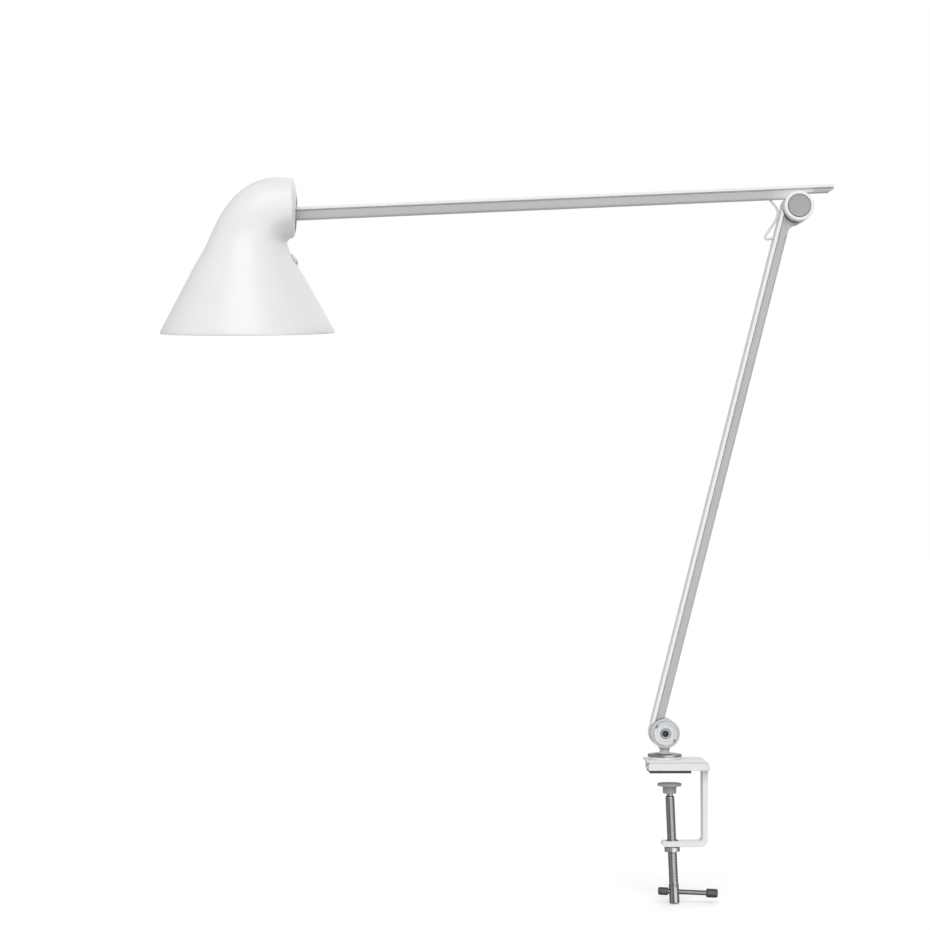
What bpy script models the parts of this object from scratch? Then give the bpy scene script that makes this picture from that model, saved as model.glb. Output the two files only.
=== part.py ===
"""Swing arm desk lamp with a screw clamp, built as separate pieces in metres, +Z up.

The origin is on the underside of the clamp's top pad, straight below the stem.
+X runs from the shade towards the elbow, and -Y is the side that shows the pivot caps.
"""

import math

import bmesh
import bpy
import numpy as np
from mathutils import Matrix, Vector

MM = 0.001

# Overall sizes
LOWER_ARM_LENGTH = 445.5 * MM  # between the two pivots
LOWER_ARM_LEAN = math.radians(14.48)
UPPER_ARM_LENGTH = 432.0 * MM  # from the elbow to the tilt bolt of the head
UPPER_ARM_RISE = math.radians(2.65)
TAIL_LENGTH = 29.2 * MM
SHADE_RIM_RADIUS = 71.4 * MM
SHADE_DEPTH = 96.0 * MM  # from the tilt bolt down to the rim
SHADE_WALL = 1.5 * MM
NECK_RADIUS = 24.0 * MM
HEAD_ROLL = math.radians(7.0)
HEAD_TILT = math.radians(1.35)

# Arm section: a flat flange with a tapering web on one side
FLANGE_DEPTH = 16.0 * MM
FLANGE_THICKNESS = 2.55 * MM
WEB_HEIGHT = 7.45 * MM
WEB_ROOT_WIDTH = 12.8 * MM
WEB_EDGE_WIDTH = 7.2 * MM
GROOVE = 0.8 * MM
LOWER_FLANGE_AT = 12.45 * MM  # outer face of the flange, from the line of the pivots
UPPER_FLANGE_AT = 16.5 * MM
LOWER_SECTION_Y = 6.5 * MM

# Pivots
PIVOT_HEIGHT = 31.3 * MM
BASE_HUB_RADIUS = 11.85 * MM
ELBOW_HUB_RADIUS = 12.2 * MM
FRONT_FACE_Y = -7.0 * MM
SPLIT_Y = 6.5 * MM  # the front and rear halves of each pivot meet here
REAR_FACE_Y = 19.0 * MM
SWEEP_RADIUS = 13.8 * MM  # room that the arm leaves for the other half to turn
CAP_RADIUS = 9.8 * MM
ELBOW_CAP_RADIUS = 9.15 * MM
PIVOT_BOLT_RADIUS = 2.5 * MM
PIVOT_HEAD_RADIUS = 3.85 * MM
GAP = 0.3 * MM
FINE_STEPS = 32  # sides of the large round pieces
STEPS = 20  # sides of the small ones

# Clamp
PLATE_TOP = 10.6 * MM
PLATE_BOTTOM = 2.1 * MM
PLATE_DEPTH = 32.0 * MM
PLATE_LEFT = -16.0 * MM
FRAME_RIGHT = 34.9 * MM
LEG_THICKNESS = 4.9 * MM
LEG_DEPTH = 14.0 * MM
JAW_ARM_TOP = -55.8 * MM
JAW_ARM_HEIGHT = 4.4 * MM
CLAMP_SCREW_RADIUS = 3.68 * MM
SCREW_LEAN = math.radians(2.38)
STEM_RADIUS = 3.9 * MM
STEM_PIN_RADIUS = 3.3 * MM
COLLAR_RADIUS = 13.85 * MM
BAR_RADIUS = 2.0 * MM
BAR_DROOP = math.radians(5.0)  # the loose bar hangs a little in its hole
PAD_TOP = -9.3 * MM

CABLE_RADIUS = 1.05 * MM
SHADE_AXIS_X = -22.5 * MM
BUTTON_RADIUS = 3.7 * MM
SWITCH_HEIGHT = -36.6 * MM
SWITCH_REACH = 39.85 * MM  # from the shade's axis to its skin at the switch
SWITCH_SLOPE = math.radians(29.41)  # of the skin there, from upright

FINISHES = {
    "white_paint": ((0.83, 0.84, 0.85), 0.38, 0.0),
    "grey_casting": ((0.55, 0.55, 0.55), 0.5, 0.6),
    "grey_plastic": ((0.32, 0.33, 0.33), 0.45, 0.0),
    "pale_plastic": ((0.72, 0.73, 0.72), 0.42, 0.0),
    "satin_aluminium": ((0.66, 0.68, 0.70), 0.34, 1.0),
    "dark_steel": ((0.09, 0.09, 0.09), 0.32, 1.0),
    "bright_steel": ((0.55, 0.55, 0.56), 0.26, 1.0),
    "nylon": ((0.68, 0.67, 0.62), 0.5, 0.0),
    "rubber": ((0.02, 0.02, 0.02), 0.8, 0.0),
    "diffuser": ((0.86, 0.86, 0.82), 0.5, 0.0),
    "board": ((0.75, 0.78, 0.74), 0.5, 0.0),
    "phosphor": ((0.86, 0.66, 0.16), 0.45, 0.0),
    "cable_jacket": ((0.80, 0.80, 0.78), 0.45, 0.0),
}

for old in list(bpy.data.objects):
    bpy.data.objects.remove(old)

scene = bpy.context.scene
partsCollection = bpy.data.collections.new("swing_arm_desk_lamp")
cuttersCollection = bpy.data.collections.new("cutters")
scene.collection.children.link(partsCollection)
scene.collection.children.link(cuttersCollection)


def material_for(name, finish):
    """A Principled material of one piece, in one of the finishes above."""
    colour, roughness, metallic = FINISHES[finish]
    material = bpy.data.materials.new(name)
    material.use_nodes = True
    shader = material.node_tree.nodes["Principled BSDF"]
    shader.inputs["Base Color"].default_value = (*colour, 1.0)
    shader.inputs["Roughness"].default_value = roughness
    shader.inputs["Metallic"].default_value = metallic
    return material


def axis_frame(name, parent=None, at=(0.0, 0.0, 0.0), turn=(0.0, 0.0, 0.0)):
    """An empty on a joint's axis, which the pieces of one body hang on."""
    empty = bpy.data.objects.new(name, None)
    empty.empty_display_size = 0.02
    empty.location = at
    empty.rotation_euler = turn
    empty.parent = parent
    partsCollection.objects.link(empty)
    return empty


def place(obj, finish, frame, at=(0.0, 0.0, 0.0), turn=(0.0, 0.0, 0.0)):
    """Put a finished object in the lamp, or among the cutters when it has no finish."""
    obj.location = at
    obj.rotation_euler = turn
    obj.parent = frame
    if finish is None:
        cuttersCollection.objects.link(obj)
        obj.hide_render = True
        obj.display_type = "WIRE"
    else:
        partsCollection.objects.link(obj)
        obj.data.materials.append(material_for(obj.name, finish))
    return obj


def smooth(obj, angle=35.0):
    """Shade the curved faces smooth and keep the edges crisp."""
    obj.data.shade_smooth()
    obj.data.set_sharp_from_angle(angle=math.radians(angle))


def turned(name, profile, finish, frame, at=(0, 0, 0), turn=(0, 0, 0), steps=STEPS):
    """Revolve (radius, height) points about local Z, outer side listed from top to bottom."""
    mesh = bpy.data.meshes.new(name)
    points = [(r, 0.0, h) for r, h in profile]
    closed = all(r > 0.0 for r, h in profile)
    edges = [(i, i + 1) for i in range(len(points) - 1)]
    if closed:
        edges.append((len(points) - 1, 0))
    mesh.from_pydata(points, edges, [])
    obj = place(bpy.data.objects.new(name, mesh), finish, frame, at, turn)
    screw = obj.modifiers.new("turn", "SCREW")
    screw.axis = "Z"
    screw.steps = steps
    screw.render_steps = steps
    screw.use_merge_vertices = True
    screw.merge_threshold = 0.00001
    screw.use_smooth_shade = True
    return obj


def ring(name, inner, outer, low, high, finish, frame, at=(0, 0, 0), turn=(0, 0, 0), steps=STEPS):
    """A plain washer or sleeve about local Z."""
    profile = [(outer, high), (outer, low), (inner, low), (inner, high)]
    return turned(name, profile, finish, frame, at, turn, steps)


def disc(name, radius, low, high, finish, frame, at=(0, 0, 0), turn=(0, 0, 0), steps=STEPS):
    """A plain cylinder about local Z."""
    profile = [(0.0, high), (radius, high), (radius, low), (0.0, low)]
    return turned(name, profile, finish, frame, at, turn, steps)


def hex_nut(name, bore, corner, low, high, frame, at=(0, 0, 0), turn=(0, 0, 0)):
    """A six-sided nut with a round bore about local Z."""
    outline = arc((0.0, 0.0), corner, 0, 300, 6)
    nut = plate(name, outline, low, high, "bright_steel", frame, at, turn)
    hole = disc(name + "_hole", bore, low - MM, high + MM, None, frame, at, turn)
    combine(nut, hole, "DIFFERENCE")


def plate(name, outline, low, high, finish, frame, at=(0, 0, 0), turn=(0, 0, 0)):
    """Fill a closed outline in local XY and extrude it from low to high along local Z."""
    curve = bpy.data.curves.new(name, "CURVE")
    curve.dimensions = "2D"
    curve.fill_mode = "BOTH"
    curve.extrude = (high - low) / 2
    spline = curve.splines.new("POLY")
    spline.points.add(len(outline) - 1)
    for point, (x, y) in zip(spline.points, outline):
        point.co = (x, y, 0.0, 1.0)
    spline.use_cyclic_u = True
    flat = bpy.data.objects.new(name, curve)
    mesh = bpy.data.meshes.new_from_object(flat)
    bpy.data.objects.remove(flat)
    bpy.data.curves.remove(curve)
    mesh.transform(Matrix.Translation((0.0, 0.0, (high + low) / 2)))
    return place(bpy.data.objects.new(name, welded(mesh)), finish, frame, at, turn)


def welded(mesh):
    """Join the caps of a converted curve to its sides."""
    work = bmesh.new()
    work.from_mesh(mesh)
    bmesh.ops.remove_doubles(work, verts=work.verts, dist=0.000001)
    bmesh.ops.recalc_face_normals(work, faces=work.faces)
    work.to_mesh(mesh)
    work.free()
    return mesh


def cord(name, points, radius, finish, frame, at=(0, 0, 0), turn=(0, 0, 0)):
    """A round cord along smooth points, with flat ends."""
    curve = bpy.data.curves.new(name, "CURVE")
    curve.dimensions = "3D"
    curve.bevel_depth = radius
    curve.bevel_resolution = 2
    curve.use_fill_caps = True
    curve.resolution_u = 3
    spline = curve.splines.new("BEZIER" if len(points) > 2 else "POLY")
    if len(points) > 2:
        spline.bezier_points.add(len(points) - 1)
        for knot, point in zip(spline.bezier_points, points):
            knot.co = point
            knot.handle_left_type = "AUTO"
            knot.handle_right_type = "AUTO"
    else:
        spline.points.add(len(points) - 1)
        for knot, point in zip(spline.points, points):
            knot.co = (*point, 1.0)
    bent = bpy.data.objects.new(name, curve)
    mesh = bpy.data.meshes.new_from_object(bent)
    bpy.data.objects.remove(bent)
    bpy.data.curves.remove(curve)
    obj = place(bpy.data.objects.new(name, welded(mesh)), finish, frame, at, turn)
    smooth(obj, 50.0)
    return obj


def combine(obj, operand, operation):
    """Boolean one object with another."""
    modifier = obj.modifiers.new(operand.name, "BOOLEAN")
    modifier.operation = operation
    modifier.solver = "EXACT"
    modifier.object = operand


def mm(*pairs):
    """Points given in millimetres."""
    return [tuple(value * MM for value in pair) for pair in pairs]


def arc(centre, radius, start, end, count):
    """Points on an arc, with the angles in degrees."""
    angles = np.radians(np.linspace(start, end, count))
    return [
        (centre[0] + radius * math.cos(a), centre[1] + radius * math.sin(a)) for a in angles
    ]


def arm_section(outer, centre, inset=0.0):
    """The section of an arm: the flange's outer face is at x = -outer."""
    root = -outer + FLANGE_THICKNESS
    edge = root + WEB_HEIGHT
    flange = FLANGE_DEPTH / 2
    wide = WEB_ROOT_WIDTH / 2
    narrow = WEB_EDGE_WIDTH / 2
    neck = wide - 1.2 * MM
    half = [(-outer, flange), (root, flange), (root, neck), (root + GROOVE, neck)]
    half += [(root + GROOVE, wide), (edge - 0.8 * MM, narrow + 0.3 * MM)]
    half += [(edge, narrow - 0.6 * MM)]
    other = [(x, -y) for x, y in reversed(half)]
    return [(x, y + centre) for x, y in half + other]


def arm_hollow(outer, centre):
    """The section of the cable channel inside an arm."""
    root = -outer + FLANGE_THICKNESS + 1.5 * MM
    edge = root + WEB_HEIGHT - 3.0 * MM
    wide = WEB_ROOT_WIDTH / 2 - 2.2 * MM
    narrow = WEB_EDGE_WIDTH / 2 - 1.2 * MM
    return [(root, centre - wide), (root, centre + wide)] + [
        (edge, centre + narrow),
        (edge, centre - narrow),
    ]


TO_FRONT = (math.pi / 2, 0.0, 0.0)  # local Z becomes -Y
TO_REAR = (-math.pi / 2, 0.0, 0.0)  # local Z becomes +Y
ALONG_X = (0.0, math.pi / 2, 0.0)  # local Z becomes +X, local X becomes -Z

# Joint frames
base = axis_frame("base_swivel_axis")
lower = axis_frame("lower_arm_axis", base, (0, 0, PIVOT_HEIGHT), (0, LOWER_ARM_LEAN, 0))
upper = axis_frame(
    "elbow_axis", lower, (0, 0, LOWER_ARM_LENGTH), (0, -LOWER_ARM_LEAN - UPPER_ARM_RISE, 0)
)
roll = axis_frame(
    "head_swivel_axis",
    upper,
    (-UPPER_ARM_LENGTH, 0, UPPER_FLANGE_AT - 5.0 * MM),
    (HEAD_ROLL, 0, 0),
)
head = axis_frame("head_tilt_axis", roll, turn=(0, HEAD_TILT, 0))
screwFrame = axis_frame("clamp_screw_axis", None, (5.7 * MM, 0, -58.0 * MM), (0, -SCREW_LEAN, 0))

# Clamp frame: a deep top plate, a leg and a jaw arm
legLeft = FRAME_RIGHT - LEG_THICKNESS
jawBottom = JAW_ARM_TOP - JAW_ARM_HEIGHT
topPlate = [(PLATE_LEFT, PLATE_BOTTOM)]
topPlate += [(FRAME_RIGHT, PLATE_BOTTOM)]
topPlate += arc((FRAME_RIGHT - 5 * MM, PLATE_TOP - 5 * MM), 5 * MM, 0, 90, 7)
topPlate += [(PLATE_LEFT, PLATE_TOP)]
clampFrame = plate(
    "clamp_frame", topPlate, -PLATE_DEPTH / 2, PLATE_DEPTH / 2, "white_paint", None, turn=TO_FRONT
)
legOutline = [(legLeft, PLATE_BOTTOM + 3 * MM)]
legOutline += arc((legLeft - 3 * MM, JAW_ARM_TOP + 3 * MM), 3 * MM, 0, -90, 5)
legOutline += arc((-0.5 * MM, (JAW_ARM_TOP + jawBottom) / 2), JAW_ARM_HEIGHT / 2, 90, 270, 9)
legOutline += arc((FRAME_RIGHT - 6.5 * MM, jawBottom + 5.5 * MM), 5.5 * MM, -90, 0, 7)
legOutline += [(FRAME_RIGHT - 0.2 * MM, PLATE_BOTTOM + 3 * MM)]
leg = plate("leg_shape", legOutline, -LEG_DEPTH / 2, LEG_DEPTH / 2, None, None, turn=TO_FRONT)
stemHole = disc("stem_hole", STEM_PIN_RADIUS + 1.6 * MM, 0, 20 * MM, None, None)
stemPocket = disc("stem_pocket", 7.0 * MM, 1 * MM, 5.2 * MM, None, None)
bushingHole = disc("bushing_hole", CLAMP_SCREW_RADIUS + 1.7 * MM, -8 * MM, 8 * MM, None, screwFrame)
combine(clampFrame, leg, "UNION")
for cutter in (stemHole, stemPocket, bushingHole):
    combine(clampFrame, cutter, "DIFFERENCE")

padOutline = mm((-13.5, -14.0), (20.0, -14.0), (20.0, 14.0), (-13.5, 14.0))
topPad = plate("clamp_top_pad", padOutline, 0.0, PLATE_BOTTOM - GAP, "rubber", None)

sleeveOuter = STEM_PIN_RADIUS + 1.3 * MM
sleeveProfile = [(sleeveOuter, PLATE_TOP), (sleeveOuter, 5.5 * MM)]
sleeveProfile += [(STEM_PIN_RADIUS + GAP, 5.5 * MM), (STEM_PIN_RADIUS + GAP, PLATE_TOP)]
turned("stem_sleeve", sleeveProfile, "nylon", None)

bushBore = CLAMP_SCREW_RADIUS + GAP
bushNeck = CLAMP_SCREW_RADIUS + 1.4 * MM
bushFlange = CLAMP_SCREW_RADIUS + 2.6 * MM
bushProfile = [(bushNeck, 2.8 * MM), (bushNeck, -2.9 * MM), (bushFlange, -2.9 * MM)]
bushProfile += [(bushFlange, -6.5 * MM), (bushBore, -6.5 * MM), (bushBore, 2.8 * MM)]
turned("screw_bushing", bushProfile, "satin_aluminium", screwFrame)

# Clamp screw with its sliding bar and swivelling pad
headRadius = CLAMP_SCREW_RADIUS + 0.42 * MM
screwProfile = [(0.0, 45.2 * MM), (1.6 * MM, 45.0 * MM), (2.6 * MM, 43.4 * MM)]
screwProfile += [(2.6 * MM, 38.6 * MM), (CLAMP_SCREW_RADIUS - 0.4 * MM, 38.0 * MM)]
screwProfile += [(CLAMP_SCREW_RADIUS, 37.2 * MM), (CLAMP_SCREW_RADIUS, -32.6 * MM)]
screwProfile += [(headRadius, -33.0 * MM), (headRadius, -47.6 * MM)]
screwProfile += [(headRadius - 0.8 * MM, -48.3 * MM), (0.0, -48.3 * MM)]
clampScrew = turned("clamp_screw", screwProfile, "dark_steel", screwFrame)
barAt = (0.0, 0.0, -39.1 * MM)
barHole = disc("bar_hole", BAR_RADIUS + 0.5 * MM, -9 * MM, 9 * MM, None, screwFrame, barAt, ALONG_X)
combine(clampScrew, barHole, "DIFFERENCE")
barFrame = axis_frame("tommy_bar_axis", screwFrame, barAt, (0, BAR_DROOP, 0))
disc("tommy_bar", BAR_RADIUS, -10.0 * MM, 32.5 * MM, "dark_steel", barFrame, turn=ALONG_X)
for capName, capRadius, closedEnd, openEnd in (
    ("bar_cap_short", 3.2 * MM, -12.9 * MM, -headRadius - 0.8 * MM),
    ("bar_cap_long", 3.6 * MM, 35.4 * MM, 26.4 * MM),
):
    inward = math.copysign(1.0, openEnd - closedEnd)
    bore = BAR_RADIUS + GAP
    floor = closedEnd + inward * 2.6 * MM
    capProfile = [(0.0, closedEnd), (capRadius - 0.9 * MM, closedEnd)]
    capProfile += [(capRadius, closedEnd + inward * 1.2 * MM), (capRadius, openEnd)]
    capProfile += [(bore, openEnd), (bore, floor), (0.0, floor)]
    if inward > 0:
        capProfile.reverse()
    turned(capName, capProfile, "rubber", barFrame, turn=ALONG_X, steps=STEPS)

padX = screwFrame.location.x - 44 * MM * math.sin(SCREW_LEAN)
padProfile = [(0.0, PAD_TOP), (9.4 * MM, PAD_TOP), (9.8 * MM, PAD_TOP - 0.4 * MM)]
padProfile += [(9.8 * MM, -11.4 * MM), (5.5 * MM, -11.4 * MM), (5.5 * MM, -17.5 * MM)]
padProfile += [(3.2 * MM, -17.5 * MM), (3.2 * MM, -12.4 * MM), (0.0, -12.4 * MM)]
turned("pressure_pad", padProfile, "grey_plastic", None, (padX, 0, 0))

# Swivel base: stem, collar and the front half of the lower pivot
stemTop = PIVOT_HEIGHT - BASE_HUB_RADIUS
stemProfile = [(0.0, stemTop + 3 * MM), (5.8 * MM, stemTop + 3 * MM), (5.2 * MM, stemTop + 0.6 * MM)]
stemProfile += [(4.3 * MM, stemTop - 0.5 * MM), (STEM_RADIUS, stemTop - 1.3 * MM)]
stemProfile += [(STEM_RADIUS, 16.7 * MM), (4.6 * MM, 15.7 * MM), (6.6 * MM, 15.0 * MM)]
stemProfile += [(STEM_PIN_RADIUS, 15.0 * MM), (STEM_PIN_RADIUS, 4.9 * MM), (0.0, 4.9 * MM)]
baseHousing = turned("base_housing", stemProfile, "grey_casting", base)


def half_hub(name, radius, start, end, finish, frame, at=(0, 0, 0)):
    """One half of a pivot as a cylinder along Y, with its outer edge broken."""
    broken = 0.6 * MM
    low, high = -end, -start
    profile = [(0.0, high), (radius - broken, high), (radius, high - broken)]
    profile += [(radius, low + broken), (radius - broken, low), (0.0, low)]
    return turned(name, profile, finish, frame, at, TO_FRONT, FINE_STEPS)


def stack(prefix, frame, frontBody, rearBody, capRadius, capHole, capFinish, capGap, rise=0.0):
    """The bolt, washers, nut and caps that hold the two halves of a pivot together.

    The two bodies are cut to take them. Local Z of every turned piece points to -Y.
    """
    at = (0.0, 0.0, rise)
    face = -FRONT_FACE_Y
    boltTop = face - 0.4 * MM if capHole else face - 2.6 * MM
    seat = boltTop - 3.2 * MM
    shank = PIVOT_BOLT_RADIUS
    capTop = face + 0.3 * MM
    rear = -REAR_FACE_Y
    headRoom = PIVOT_HEAD_RADIUS + GAP
    capProfile = [(capRadius - 0.5 * MM, capTop), (capRadius, capTop - 0.5 * MM)]
    capProfile += [(capRadius, face - 1.9 * MM)]
    if capHole:
        capProfile += [(headRoom, face - 1.9 * MM), (headRoom, capTop)]
    else:
        capProfile = [(0.0, capTop), *capProfile, (0.0, face - 1.9 * MM)]
    cap = turned(prefix + "_front_cap", capProfile, capFinish, frame, at, TO_FRONT, FINE_STEPS)
    boltProfile = [(0.0, boltTop - 1.6 * MM), (1.9 * MM, boltTop - 1.6 * MM), (1.9 * MM, boltTop)]
    boltProfile += [(PIVOT_HEAD_RADIUS - 0.4 * MM, boltTop)]
    boltProfile += [(PIVOT_HEAD_RADIUS, boltTop - 0.4 * MM), (PIVOT_HEAD_RADIUS, seat)]
    boltProfile += [(shank, seat), (shank, rear + 3.2 * MM), (0.0, rear + 3.2 * MM)]
    turned(prefix + "_bolt", boltProfile, "dark_steel", frame, at, TO_FRONT)
    split = -SPLIT_Y
    ring(
        prefix + "_friction_washer", shank + 0.5 * MM, 9.0 * MM,
        split - 1.15 * MM, split - 0.15 * MM, "nylon", frame, at, TO_FRONT, STEPS,
    )
    springProfile = [(shank + 0.4 * MM, -12.4 * MM), (6.2 * MM, -12.1 * MM), (6.2 * MM, -12.8 * MM)]
    springProfile += [(shank + 0.4 * MM, -13.1 * MM)]
    turned(prefix + "_spring_washer", springProfile, "bright_steel", frame, at, TO_FRONT)
    hex_nut(prefix + "_nut", shank + GAP, 4.9 * MM, -16.4 * MM, -13.4 * MM, frame, at, TO_FRONT)
    rearProfile = [(0.0, rear + 1.9 * MM), (capRadius, rear + 1.9 * MM), (capRadius, rear + 0.2 * MM)]
    rearProfile += [(capRadius - 0.5 * MM, rear - 0.3 * MM), (0.0, rear - 0.3 * MM)]
    turned(prefix + "_rear_cap", rearProfile, capFinish, frame, at, TO_FRONT, FINE_STEPS)

    past = 5.0 * MM
    bore = shank + GAP
    recess = capRadius + capGap
    frontBore = [(0.0, face + past), (recess, face + past), (recess, face - 2.2 * MM)]
    frontBore += [(headRoom, face - 2.2 * MM), (headRoom, seat - GAP), (bore, seat - GAP)]
    frontBore += [(bore, split - past), (0.0, split - past)]
    rearBore = [(0.0, split + past), (9.3 * MM, split + past), (9.3 * MM, split - 1.45 * MM)]
    rearBore += [(bore, split - 1.45 * MM), (bore, -11.6 * MM), (6.8 * MM, -11.6 * MM)]
    rearBore += [(6.8 * MM, rear + 2.2 * MM), (recess, rear + 2.2 * MM)]
    rearBore += [(recess, rear - past), (0.0, rear - past)]
    for label, body, profile in (
        ("_front_bore", frontBody, frontBore),
        ("_rear_bore", rearBody, rearBore),
    ):
        cutter = turned(prefix + label, profile, None, frame, at, TO_FRONT, FINE_STEPS)
        combine(body, cutter, "DIFFERENCE")
    return cap


baseBarrel = half_hub(
    "base_barrel_shape", BASE_HUB_RADIUS, FRONT_FACE_Y, SPLIT_Y - GAP / 2, None, base, (0, 0, PIVOT_HEIGHT)
)
combine(baseHousing, baseBarrel, "UNION")

collarProfile = [(COLLAR_RADIUS - 0.3 * MM, 14.7 * MM), (COLLAR_RADIUS, 14.4 * MM)]
collarProfile += [(COLLAR_RADIUS, 13.5 * MM), (COLLAR_RADIUS - 0.3 * MM, 13.2 * MM)]
collarProfile += [(STEM_PIN_RADIUS + GAP, 13.2 * MM), (STEM_PIN_RADIUS + GAP, 14.7 * MM)]
turned("base_collar", collarProfile, "dark_steel", base, steps=FINE_STEPS)
ring(
    "collar_washer", STEM_PIN_RADIUS + GAP, 9.0 * MM, PLATE_TOP + GAP, 12.9 * MM,
    "pale_plastic", base, steps=FINE_STEPS,
)
ring("stem_washer", 1.8 * MM, 6.4 * MM, 3.6 * MM, 4.6 * MM, "bright_steel", base)
stemScrewProfile = [(0.0, 12.0 * MM), (1.5 * MM, 12.0 * MM), (1.5 * MM, 3.3 * MM)]
stemScrewProfile += [(3.0 * MM, 3.3 * MM), (3.0 * MM, 2.3 * MM), (0.0, 2.3 * MM)]
turned("stem_screw", stemScrewProfile, "bright_steel", base)
stemBore = disc("stem_bore", 1.8 * MM, 2 * MM, 12.6 * MM, None, base)
combine(baseHousing, stemBore, "DIFFERENCE")

# Lower arm: the section runs between the rear halves of both pivots
lowerArm = plate(
    "lower_arm", arm_section(LOWER_FLANGE_AT, LOWER_SECTION_Y), 5.0 * MM,
    LOWER_ARM_LENGTH - 5.0 * MM, "white_paint", lower,
)
elbowRear = half_hub(
    "elbow_rear_shape", ELBOW_HUB_RADIUS, SPLIT_Y + GAP / 2, REAR_FACE_Y, None, lower,
    (0, 0, LOWER_ARM_LENGTH),
)
baseRear = half_hub(
    "base_rear_shape", BASE_HUB_RADIUS, SPLIT_Y + GAP / 2, REAR_FACE_Y, None, lower
)
webEdge = -LOWER_FLANGE_AT + FLANGE_THICKNESS + WEB_HEIGHT
flareLow = LOWER_ARM_LENGTH - 22.0 * MM
flare = [(webEdge - 6 * MM, flareLow - 14 * MM), (webEdge - 0.3 * MM, flareLow)]
flare += [(webEdge + 0.8 * MM, flareLow + 3.2 * MM), (webEdge + 3.2 * MM, flareLow + 6.4 * MM)]
flare += [(webEdge + 7.5 * MM, flareLow + 9.6 * MM), (webEdge + 7.5 * MM, flareLow + 16 * MM)]
flare += [(webEdge - 6 * MM, flareLow + 16 * MM)]
elbowFlare = plate(
    "elbow_flare_shape", flare, -14.0 * MM, -1.6 * MM, None, lower, turn=TO_FRONT
)
sweepEnd = SPLIT_Y + 0.4 * MM
baseSweep = disc("base_sweep", SWEEP_RADIUS, -sweepEnd, 9 * MM, None, lower, (0, 0, 0), TO_FRONT, FINE_STEPS)
elbowSweep = disc(
    "elbow_sweep", SWEEP_RADIUS, -sweepEnd, 9 * MM, None, lower, (0, 0, LOWER_ARM_LENGTH), TO_FRONT, FINE_STEPS
)
lowerChannel = plate(
    "lower_channel", arm_hollow(LOWER_FLANGE_AT, LOWER_SECTION_Y), 9.5 * MM,
    LOWER_ARM_LENGTH - 23.0 * MM, None, lower,
)
CABLE_ENTRY_DROP = 29.6 * MM
entryHole = disc(
    "cable_entry", CABLE_RADIUS + 0.5 * MM, -16 * MM, -6.5 * MM, None, lower,
    (0, 5.2 * MM, LOWER_ARM_LENGTH - CABLE_ENTRY_DROP), ALONG_X, 16,
)
combine(lowerArm, elbowFlare, "UNION")
for cutter in (baseSweep, elbowSweep):
    combine(lowerArm, cutter, "DIFFERENCE")
for hub in (elbowRear, baseRear):
    combine(lowerArm, hub, "UNION")
for cutter in (lowerChannel, entryHole):
    combine(lowerArm, cutter, "DIFFERENCE")

cap = stack(
    "base_pivot", base, baseHousing, lowerArm, CAP_RADIUS, True, "satin_aluminium", GAP, PIVOT_HEIGHT
)
for index, angle in enumerate((142.0, -38.0)):
    reach = CAP_RADIUS - 0.2 * MM
    x = reach * math.cos(math.radians(angle))
    z = reach * math.sin(math.radians(angle))
    notch = disc(
        f"cap_notch_{index}", 1.5 * MM, 4 * MM, 9 * MM, None, base, (x, 0, PIVOT_HEIGHT + z), TO_FRONT, 16
    )
    combine(cap, notch, "DIFFERENCE")

# Upper arm with the front half of the elbow and a short tail past it
upperArm = plate(
    "upper_arm", arm_section(UPPER_FLANGE_AT, 0.0), -UPPER_ARM_LENGTH + 9.0 * MM, TAIL_LENGTH,
    "white_paint", upper, turn=ALONG_X,
)
elbowFront = half_hub(
    "elbow_front_shape", ELBOW_HUB_RADIUS, FRONT_FACE_Y, SPLIT_Y - GAP / 2, None, upper
)
tailOutline = mm((3.0, 3.0), (34.0, 3.0), (34.0, 14.2), (28.2, 12.6), (26.2, 10.9), (3.0, 10.9))
tailRelief = plate("tail_relief", tailOutline, -9 * MM, 9 * MM, None, upper, turn=TO_FRONT)
upperChannel = plate(
    "upper_channel", arm_hollow(UPPER_FLANGE_AT, 0.0), -UPPER_ARM_LENGTH + 27.0 * MM, -19.5 * MM,
    None, upper, turn=ALONG_X,
)
CABLE_EXIT_X = -22.6 * MM
exitHole = disc(
    "cable_exit", CABLE_RADIUS + 0.6 * MM, 3 * MM, 9.5 * MM, None, upper, (CABLE_EXIT_X, 0, 0), steps=16
)
swivelAt = (-UPPER_ARM_LENGTH, 0, UPPER_FLANGE_AT - 5.0 * MM)
swivelHole = disc(
    "swivel_hole", 3.4 * MM, 5 * MM, 28 * MM, None, upper, swivelAt, ALONG_X
)
combine(upperArm, tailRelief, "DIFFERENCE")
combine(upperArm, elbowFront, "UNION")
for cutter in (upperChannel, exitHole, swivelHole):
    combine(upperArm, cutter, "DIFFERENCE")
stack("elbow", upper, upperArm, lowerArm, ELBOW_CAP_RADIUS, False, "grey_plastic", 0.55 * MM)

# Cable: a run inside each arm and the loop between them
cableZ = UPPER_FLANGE_AT - 6.4 * MM
cord(
    "cable_upper_run", [(-UPPER_ARM_LENGTH + 32 * MM, 0, cableZ), (-28.6 * MM, 0, cableZ)],
    CABLE_RADIUS, "cable_jacket", upper,
)
cableX = -LOWER_FLANGE_AT + 6.3 * MM
cord(
    "cable_lower_run",
    [(cableX, LOWER_SECTION_Y, 14 * MM), (cableX, LOWER_SECTION_Y, LOWER_ARM_LENGTH - 33 * MM)],
    CABLE_RADIUS, "cable_jacket", lower,
)
toElbow = Matrix.Translation((0, 0, LOWER_ARM_LENGTH)) @ Matrix.Rotation(
    -LOWER_ARM_LEAN - UPPER_ARM_RISE, 4, "Y"
)
loopStart = mm((-27.8, 0, 10.1), (-24.6, 0, 9.6), (-22.7, 0, 7.4), (-21.9, 0, 5.0))
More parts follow.
